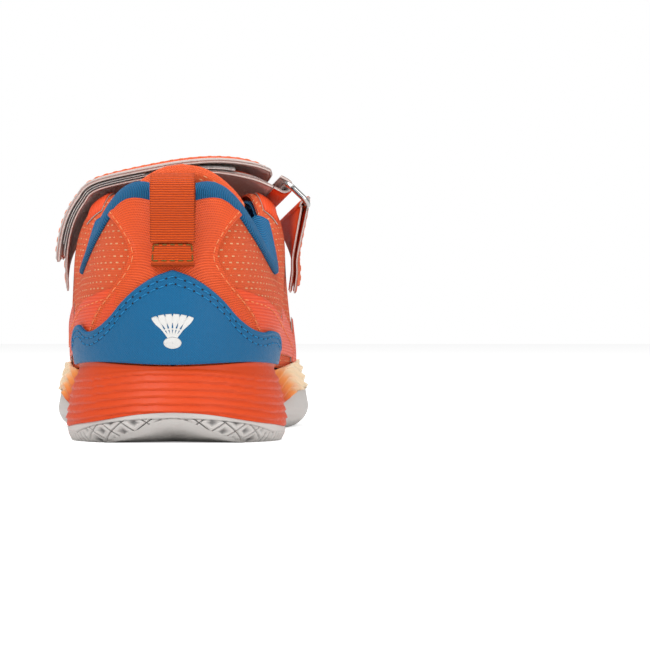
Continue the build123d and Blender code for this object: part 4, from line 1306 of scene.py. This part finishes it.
@dataclass
class Tongue(SubAssembly):
    """Knit tongue with a padded lining."""

    line: tuple[tuple[float, float], ...] = (
        (44, 90.5), (50, 88.6), (58, 85.2), (68, 80.8), (84, 72.9), (100, 64.3), (118, 53.4),
    )
    half_width: float = 20.5
    arch: float = 0.027
    front: float = 114.0
    back: float = 45.6

    def centre(self, x: Array, y: Array) -> Array:
        """Outer face of the tongue: its middle line, falling away as arch times x squared."""
        narrow = np.interp(y, [60.0, 116.0], [1.0, 0.6])
        across = x * self.half_width * narrow
        return np.stack([across, y + 0 * x, profile(self.line, y) - self.arch * across**2], -1)

    def shell(self, name: str, depth: Array, y: Array, x: Array, finish: bpy.types.Material,
        caps: int) -> bpy.types.Object:
        """Solid with a closed section across the tongue at each distance y.

        Args:
            name: the piece's name.
            depth: how far each section point lies under the outer face.
            y: distances along the shoe, one per row, for each section point.
            x: share of the half width of each section point.
            finish: material.
            caps: number of points in one section.

        Returns:
            The new object.
        """
        grid_points = self.centre(x, y)
        slope = unit(np.stack([0 * y, np.ones_like(y),
            (profile(self.line, y + 0.5) - profile(self.line, y - 0.5))], -1))
        down = np.stack([0 * y, slope[..., 2], -slope[..., 1]], -1)
        points = grid_points + down * depth[..., None]
        rows = points.shape[0]
        i, j = np.arange(rows - 1)[:, None], np.arange(caps)[None, :]
        after = (j + 1) % caps
        belt = np.stack([(a * caps + b + 0 * i).ravel() for a,
            b in ((i, j), (i + 1, j), (i + 1, after), (i, after))], 1)
        flat = points.reshape(-1, 3)
        belt = facing(flat, belt)
        ends = [np.arange(caps)[None, :], ((rows - 1) * caps + np.arange(caps))[None, ::-1]]
        uv = np.stack([points[..., 0] / 10, (y + depth) / 10], -1)
        return mesh_piece(name, flat, [belt, *ends], [finish] * 3, uv)

    def build(self) -> None:
        """Make the tongue's cover and its padded lining."""
        angle = np.linspace(0, 2 * math.pi, 72, endpoint=False)
        x = np.sign(np.cos(angle)) * np.abs(np.cos(angle)) ** 0.55
        up = np.sign(np.sin(angle)) * np.abs(np.sin(angle)) ** 0.75
        t = np.linspace(0, 1, 90)[:, None]
        end = np.sqrt(np.clip(1 - (1 - np.minimum(t / 0.035, 1)) ** 2, 0.02, 1))
        rows = self.back + (self.front - self.back) * t + 0 * angle[None, :]
        half = 0.75 + 2.9 * np.exp(-((t / 0.06) ** 2))
        cover = self.shell("tongue_knit", half - half * end * up[None, :], rows, x[None, :] + 0 * t,
            self.dress(Finishes.MESH), 72)
        swell = 2.6 * end * (0.86 + 0.14 * np.sin(t * 30.0) ** 2)
        rows = rows + 5.6 * (1 - t)
        pad = self.shell("tongue_padding", 4.4 - swell * up[None, :], rows, x[None, :] * 0.95 + 0 * t,
            self.dress(Finishes.LINING), 72)
        hinge = self.shop.joint("tongue_top_hinge")
        for piece, nodes in (
            (cover, ("tongue_cover", "tongue_top_cover", "tongue_binding")),
            (pad, ("tongue_pad", "tongue_top_pad", "tongue_lining", "tongue_top_lining")),
        ):
            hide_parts(*nodes)
            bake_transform(piece)
        log.info("tongue bends at %s", hinge["name"])


@dataclass
class Ribbon(SubAssembly):
    """A strip that follows a path of points, row by row across its width."""

    def finer(self, path: Array, start: float, end: float, count: int, across: int = 9) -> Array:
        """Path resampled by a smooth curve along each row, between two shares of its length, and across its width.

        Each row is read as a curve with slopes from neighbouring points (a Catmull-Rom curve).
        """
        rows = []
        for row in path:
            padded = np.concatenate([2 * row[:1] - row[1:2], row, 2 * row[-1:] - row[-2:-1]])
            t = np.linspace(0, len(row) - 1 - 1e-6, 400)
            k = t.astype(int)
            f = (t - k)[:, None]
            a, b, c, d = padded[k], padded[k + 1], padded[k + 2], padded[k + 3]
            curve = b + 0.5 * f * (c - a + f * (2 * a - 5 * b + 4 * c - d + f * (3 * (b - c) + d - a)))
            run = np.concatenate([[0.0], np.cumsum(np.linalg.norm(np.diff(curve, axis=0), axis=1))]) 
            wanted = np.linspace(start, end, count) * run[-1]
            rows.append(np.stack([np.interp(wanted, run, curve[:, m]) for m in range(3)], -1))
        tall = np.array(rows)
        old, new = np.linspace(0, 1, len(path)), np.linspace(0, 1, across)
        place = np.clip(np.searchsorted(old, new, side="right") - 1, 0, len(path) - 2)
        share = ((new - old[place]) / (old[place + 1] - old[place]))[:, None, None]
        return tall[place] * (1 - share) + tall[place + 1] * share

    def normals(self, path: Array) -> Array:
        """Upward normals of a path's grid."""
        normal = unit(np.cross(np.gradient(path, axis=0), np.gradient(path, axis=1)))
        return -normal if normal[..., 2].mean() < 0 else normal

    def strip(
        self,
        name: str,
        path: Array,
        inner: Array | float,
        outer: Array | float,
        finish: bpy.types.Material | list[bpy.types.Material],
        edge: float = 0.5,
        bound: int = 0,
    ) -> bpy.types.Object:
        """Sheet between two offsets of a path, with rounded edges."""
        normal = self.normals(path)
        inner, outer = np.broadcast_to(inner, path.shape[:2]), np.broadcast_to(outer, path.shape[:2])
        middle = (inner + outer) / 2
        share = 0.45 + 0.55 * rounded(path, edge)
        top = path + normal * (middle + (outer - middle) * share)[..., None]
        under = path + normal * (middle + (inner - middle) * share)[..., None]
        return closed_sheet(name, top, under, finish, bound=bound)


@dataclass
class Strap(Ribbon):
    """Hook-and-loop strap: base with its pile, the fold round the ring's bar, and the flap with its hooks."""

    width: float = 26.0
    middle_y: float = 71.2
    thick: float = 1.8
    lift: float = 1.6
    end_lift: float = 3.0
    crown: float = 3.7
    ring_level: float = 0.89
    fold_start: float = 2.9

    def path(self) -> Array:
        """Underside of the strap: up the outer side, over the tongue and down to the ring, row by row."""
        y = np.linspace(-0.5, 0.5, 6) * self.width + self.middle_y
        seat = 0.25 + 0.7 + self.lift / 2
        columns = []
        for v in (0.40, 0.5, 0.6, 0.7, 0.8, 0.9):
            level = np.full(y.shape, v)
            station = self.last.station_at(y, level, (2.6, 6.4))
            columns.append(self.last.skin(station, level, seat + 2 * self.lift * (v - 0.40)))
        for v in (1.0, self.ring_level):
            level = np.full(y.shape, v)
            station = self.last.station_at(y, level, (self.last.count - 2.6, self.last.count - 6.4))
            columns.append(self.last.skin(station, level, seat + self.end_lift))
        low, high = columns[-3], columns[-2]
        for share, crown in ((0.36, 0.8), (0.57, 1.0), (0.79, 0.75)):
            columns.insert(-2, low + (high - low) * share + np.array([0.0, 0.0, self.crown * crown]))
        grid_points = np.stack(columns, axis=1)
        straight = np.linspace(0, 1, len(y))[:, None]
        grid_points[:, -1] = grid_points[0, -1] * (1 - straight) + grid_points[-1, -1] * straight
        return grid_points

    def build(self) -> None:
        """Make the strap's layers, its fold and its seams."""
        path = self.path()
        skin, edge, pile = (self.dress(f) for f in (Finishes.STRAP, Finishes.STRAP_EDGE, Finishes.PILE))
        settle = self.shop.settle
        base = self.strip("strap_base_strip", self.finer(path, 0.0, 1.0, 120, 21), 0.0,
            self.level(1.0, 1.8, 0.0, 1.0, 120),
                          [skin, edge, edge], 0.15, 1)
        settle(base, Body.SHOE, "strap_base")
        fuzz = self.finer(path, 0.12, 0.86, 120, 25)
        wave = 0.12 * np.sin(np.arange(25)[:, None] * 2.4) * np.sin(np.arange(120)[None, :] * 1.7)
        low, high = self.level(1.02, 2.05, 0.12, 0.86, 120), self.level(1.6, 3.05, 0.12, 0.86, 120)
        settle(self.strip("strap_pile", fuzz, low, high + wave, pile, 0.5), Body.SHOE, "strap_loop_patch")
        low, high = self.level(1.75, 3.4, 0.16, 0.55, 80), self.level(2.25, 4.3, 0.16, 0.55, 80)
        hooks = self.strip("strap_hooks", self.finer(path, 0.16, 0.55, 80, 21), low, high, pile, 0.4)
        low, high = self.level(2.28, 4.55, 0.10, 0.97, 120), self.level(4.2, 6.35, 0.10, 0.97, 120)
        flap = self.strip("strap_flap_strip", self.finer(path, 0.10, 0.97, 120, 21), low, high,
            [skin, edge, edge], 0.15, 1)
        joint = self.shop.joint("strap_flap_hinge")
        settle(hooks, Body.FLAP, "strap_hook_patch")
        settle(flap, Body.FLAP, "strap_flap")
        self.fold(path, [skin, edge, edge])
        self.seams(path)
        log.info("strap turns at %s", joint["name"])

    def level(self, pressed: float, open_height: float, start: float, end: float, count: int) -> Array:
        """Height of a layer along the strap: pressed together up to three quarters of the way, then opening to the fold."""
        along = np.linspace(start, end, count)[None, :]
        return pressed + (open_height - pressed) * ease(0.60, 0.97, along)

    def bar(self, path: Array) -> tuple[Array, Array, Array]:
        """Middle line of the fold, the direction past the strap's end and the direction up from it."""
        end = path[:, -1]
        run = unit((path[:, -1] - path[:, -2]).mean(axis=0))
        line = unit(end[-1] - end[0])
        up = unit(np.cross(line, -run))
        return end + up * (4.55 + 1.8) / 2 + run * self.fold_start, run, up

    def fold(self, path: Array, finish: list[bpy.types.Material]) -> None:
        """Half turn round the ring's bar, with a straight leg at both ends."""
        centre, run, up = self.bar(path)
        centre = np.stack([np.interp(np.linspace(0, 5, 21), range(6), centre[:, k]) for k in range(3)], -1)
        angle = np.linspace(-np.pi / 2, np.pi / 2, 30)[None, :, None]

        def turn(radius: float) -> Array:
            """Points at a radius, with both legs."""
            arc = centre[:, None] + radius * (np.cos(angle) * run + np.sin(angle) * up)
            back = run * (self.fold_start - 0.3) * np.linspace(1, 0, 6)[:, None]
            first = arc[:, :1] - back[None, :-1]
            last = arc[:, -1:] - back[None, ::-1][:, 1:]
            return np.concatenate([first, arc, last], axis=1)

        middle = (4.55 - 1.8) / 2 + self.thick / 2
        share = (0.45 + 0.55 * rounded(turn(middle), 0.5)) * self.thick / 2
        base = turn(middle)
        out = unit(turn(middle + 1.0) - turn(middle))
        piece = closed_sheet("strap_turn", base + out * share[..., None], base - out * share[..., None],
            finish)
        self.shop.settle(piece, Body.SHOE, "strap_fold")

    def seams(self, path: Array) -> None:
        """Stitch rows along both edges of the flap and the base."""
        thread = self.dress(Finishes.THREAD)
        for name, start, end, height, body in (("flap", 0.12, 0.95, 6.35, Body.FLAP),
            ("base", 0.02, 0.10, 1.8, Body.SHOE)):
            fine = self.finer(path, start, end, 160, 27)
            normal = self.normals(fine)
            for row in (4, 22):
                rise = self.level(4.2, height, start, end, 160)[0] if name == "flap" else self.level(1.0,
                    height, start, end, 160)[0]
                line = fine[row] + normal[row] * (rise[:, None] - 0.02)
                piece = stitches(f"strap_seam_{name}_{row}", line, normal[row], thread, 2.2, 0.9, 0.45)
                self.shop.settle(piece, body)


@dataclass
class RingTab(Ribbon):
    """Tab that holds the ring on the inner side, folded round the wire and sewn."""

    fall: float = 43.0
    reach: float = 10.0
    thick: float = 1.3

    def build(self) -> None:
        """Make the tab and its seam, and dress the ring."""
        strap = Strap(self.shop)
        path = strap.path()
        centre, _, _ = strap.bar(path)
        line = unit(path[-1, -1] - path[0, -1])
        fall = math.radians(self.fall)
        sideways = np.array([math.cos(fall), 0.0, -math.sin(fall)])
        sideways = unit(sideways - line * sideways.dot(line))
        out = np.cross(line, sideways)
        out = out * np.sign(out[0])
        bar = centre + sideways * self.reach
        radius = 1.0 + 0.45 + self.thick / 2
        seat = 0.25 + 0.7 + 0.8 + 0.4 + self.thick / 2
        y = np.linspace(-0.5, 0.5, 6) * strap.width + strap.middle_y

        def leg(levels: tuple[float, ...], depth: float) -> Array:
            """One leg of the tab down the inner side."""
            rows = []
            for v in levels:
                level = np.full(y.shape, v)
                station = self.last.station_at(y, level, (self.last.count - 2.6, self.last.count - 6.4))
                rows.append(self.last.skin(station, level, depth))
            return np.stack(rows, axis=1)

        angle = np.radians(np.linspace(-75, 75, 7))[None, :, None]
        arc = bar[:, None] + radius * (np.cos(angle) * -sideways + np.sin(angle) * out)
        levels = (0.40, 0.48, 0.56)
        whole = np.concatenate([leg(levels, seat), arc, leg(levels[::-1], seat + self.thick + 0.25)], axis=1)
        skin, edge = self.dress(Finishes.STRAP), self.dress(Finishes.STRAP_EDGE)
        fine = self.finer(whole, 0.0, 1.0, 150, 21)
        piece = self.strip("ring_tab_strip", fine, -self.thick / 2, self.thick / 2, [skin, skin, edge])
        self.shop.settle(piece, Body.SHOE, "ring_tab")
        normal = self.normals(fine)
        thread = self.dress(Finishes.THREAD)
        for row in (2, 18):
            line_points = fine[row, 88:146] + normal[row, 88:146] * self.thick / 2
            self.shop.settle(stitches(f"tab_seam_{row}", line_points, normal[row, 88:146], thread), Body.SHOE)
        ring = self.shop.frame["nodes"]["strap_ring"]
        ring.data.materials.clear()
        ring.data.materials.append(self.dress(Finishes.CHROME))


@dataclass
class PullLoop(Ribbon):
    """Webbing loop at the heel: a sewn base and a free bow over the collar."""

    width: float = 13.8
    thick: float = 1.5
    foot_z: float = 54.6
    hinge_z: float = 61.7
    top_z: float = 83.6
    gap: float = 6.6

    def build(self) -> None:
        """Make the base, the bow and the box of thread."""
        cloth = self.dress(Finishes.WEBBING)
        seat = 0.25 + 0.7 + 0.25
        half = 0.30
        station, t = grid(np.linspace(-half, half, 40), np.linspace(0, 1, 44))
        low = self.last.level_at(station, self.foot_z)
        high = self.last.level_at(station, self.hinge_z - 0.4)
        v = low + (high - low) * t
        piece = self.layer("pull_base", station, v, seat, 2 * self.thick + 0.35, cloth, 0.7)
        self.shop.settle(piece, Body.SHOE, "pull_loop_base")
        foot = self.last.level_at(np.array(0.0), self.hinge_z)
        loop_y = float(self.last.skin(np.array(0.0), foot, seat + self.thick + 0.35)[1])
        leg, bow = (self.thick + 0.35) / 2, (self.gap + self.thick) / 2
        bow_z = self.top_z - bow - self.thick / 2
        side = [
            (leg, self.hinge_z + 0.4),
            (leg + 0.3, self.hinge_z + 5.0),
            (bow - 0.3, bow_z - 4.5),
            (bow, bow_z),
            (bow * 0.7071, bow_z + bow * 0.7071),
        ]
        route = [(-y, z) for y, z in side] + [(0.0, bow_z + bow)] + side[::-1]
        rows = np.array([[(x, loop_y + y, z) for y, z in route] for x in np.linspace(-0.5, 0.5,
            3) * self.width])
        fine = self.finer(rows, 0.0, 1.0, 150, 25)
        loop = self.strip("pull_bow", fine, -self.thick / 2, self.thick / 2, cloth, 0.7)
        self.shop.settle(loop, Body.LOOP, "pull_loop")
        depth = seat + 2 * self.thick + 0.37
        rows_z = (self.foot_z + 1.3, self.hinge_z - 1.0)
        for number, z in enumerate(rows_z):
            at = np.linspace(-half * 0.86, half * 0.86, 60)
            self.seam(f"pull_seam_{number}", at, self.last.level_at(at, z), depth, Finishes.THREAD_OLIVE,
                length=1.5, gap=0.9)
        for number, side_at in enumerate((-half * 0.88, half * 0.88)):
            z = np.linspace(*rows_z, 40)
            at = np.full(z.shape, side_at)
            self.seam(f"pull_side_{number}", at, self.last.level_at(at, z), depth, Finishes.THREAD_OLIVE,
                length=1.5, gap=0.9)


@dataclass
class Insole(SubAssembly):
    """Sock liner on the footbed, and the plain hidden parts of the bottom."""

    def build(self) -> None:
        """Dress the hidden nodes."""
        for node, finish in (
            ("sockliner", Finishes.SOCK),
            ("insole_board", Finishes.BOARD),
            ("shank_plate", Finishes.PLATE),
            ("heel_stiffener", Finishes.BOARD),
            ("toe_stiffener", Finishes.BOARD),
        ):
            mesh = self.shop.frame["nodes"][node].data
            mesh.materials.clear()
            mesh.materials.append(self.dress(finish))
            if "surface" not in mesh.uv_layers:
                corners = np.zeros(len(mesh.loops), np.int32)
                mesh.loops.foreach_get("vertex_index", corners)
                place = np.zeros(len(mesh.vertices) * 3, np.float32)
                mesh.vertices.foreach_get("co", place)
                flat = place.reshape(-1, 3)[corners][:, :2] * 100
                layer = mesh.uv_layers.new(name="surface")
                layer.data.foreach_set("uv", np.ascontiguousarray(flat).ravel())


@dataclass
class Studio:
    """Pale floor and backdrop, soft lights and the camera."""

    camera_at: tuple[float, float, float] = (0.047, -1.186, 0.045)
    pitch: float = -0.41
    lens: float = 206.95

    def floor(self) -> None:
        """Level pale floor, which keeps the shoe's shadow."""
        x, y = grid(np.linspace(-2500, 2500, 3), np.linspace(-2500, 2500, 3))
        material = bpy.data.materials.new("studio_paper")
        material.use_nodes = True
        shader = material.node_tree.nodes["Principled BSDF"]
        shader.inputs["Base Color"].default_value = (0.86, 0.86, 0.86, 1)
        shader.inputs["Roughness"].default_value = 0.9
        shader.inputs["Specular IOR Level"].default_value = 0.0
        shader.inputs["Emission Strength"].default_value = 0.55
        sheet = Sheet(material.node_tree)
        seen = sheet.node("ShaderNodeLightPath").outputs["Is Camera Ray"]
        sheet.join(sheet.mix(seen, (0.0, 0.0, 0.0), (1.0, 1.0, 1.0)), shader.inputs["Emission Color"])
        mesh_piece("studio_floor", np.stack([x, y, 0 * x], -1), quads(3, 3), material)

    def light(self, name: str, place: tuple[float, float, float], size: float, power: float,
        aim: tuple[float, float, float]) -> None:
        """Square soft light aimed at a point."""
        lamp = bpy.data.lights.new(name, "AREA")
        lamp.size = size
        lamp.energy = power
        item = bpy.data.objects.new(name, lamp)
        item.location = place
        direction = np.array(aim) - np.array(place)
        item.rotation_euler = mathutils.Vector(direction).to_track_quat("-Z", "Y").to_euler()
        bpy.context.scene.collection.objects.link(item)

    def build(self) -> None:
        """Set up the floor, the lights, the surroundings and the camera."""
        scene = bpy.context.scene
        scene.view_settings.view_transform = "Standard"
        self.floor()
        self.light("key", (-0.55, -0.75, 0.95), 0.7, 9.0, (0, 0.06, 0.04))
        self.light("fill", (0.95, -0.85, 0.55), 0.9, 7.0, (0, 0.06, 0.04))
        self.light("top", (0.05, 0.15, 1.3), 1.0, 10.0, (0, 0.08, 0.03))
        world = bpy.data.worlds.new("surroundings")
        world.use_nodes = True
        sheet = Sheet(world.node_tree)
        background = world.node_tree.nodes["Background"]
        background.inputs["Color"].default_value = (1, 1, 1, 1)
        background.inputs["Strength"].default_value = 0.40
        plain = sheet.node("ShaderNodeBackground")
        plain.inputs["Color"].default_value = (1, 1, 1, 1)
        plain.inputs["Strength"].default_value = 1.0
        mixed = sheet.node("ShaderNodeMixShader")
        sheet.join(sheet.node("ShaderNodeLightPath").outputs["Is Camera Ray"], mixed.inputs[0])
        sheet.join(background.outputs[0], mixed.inputs[1])
        sheet.join(plain.outputs[0], mixed.inputs[2])
        sheet.join(mixed.outputs[0], world.node_tree.nodes["World Output"].inputs["Surface"])
        scene.world = world
        camera = bpy.data.cameras.new("camera")
        camera.lens = self.lens
        camera.sensor_width = 36.0
        item = bpy.data.objects.new("camera", camera)
        item.location = self.camera_at
        item.rotation_euler = (math.radians(90 + self.pitch), 0.0, 0.0)
        scene.collection.objects.link(item)
        scene.camera = item


def main() -> None:
    """Build the shoe round the frame."""
    logging.basicConfig(level=logging.INFO, format="%(name)s: %(message)s")
    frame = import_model()
    shop = Workshop(Last(), Wardrobe(), frame)
    for part in (SoleUnit(shop), Insole(shop), Upper(shop), Collar(shop), Tongue(shop), Strap(shop),
        RingTab(shop), PullLoop(shop)):
        part.build()
        log.info("built %s", type(part).__name__)
    Studio().build()
    bpy.context.view_layer.update()


if __name__ == "__main__":
    main()
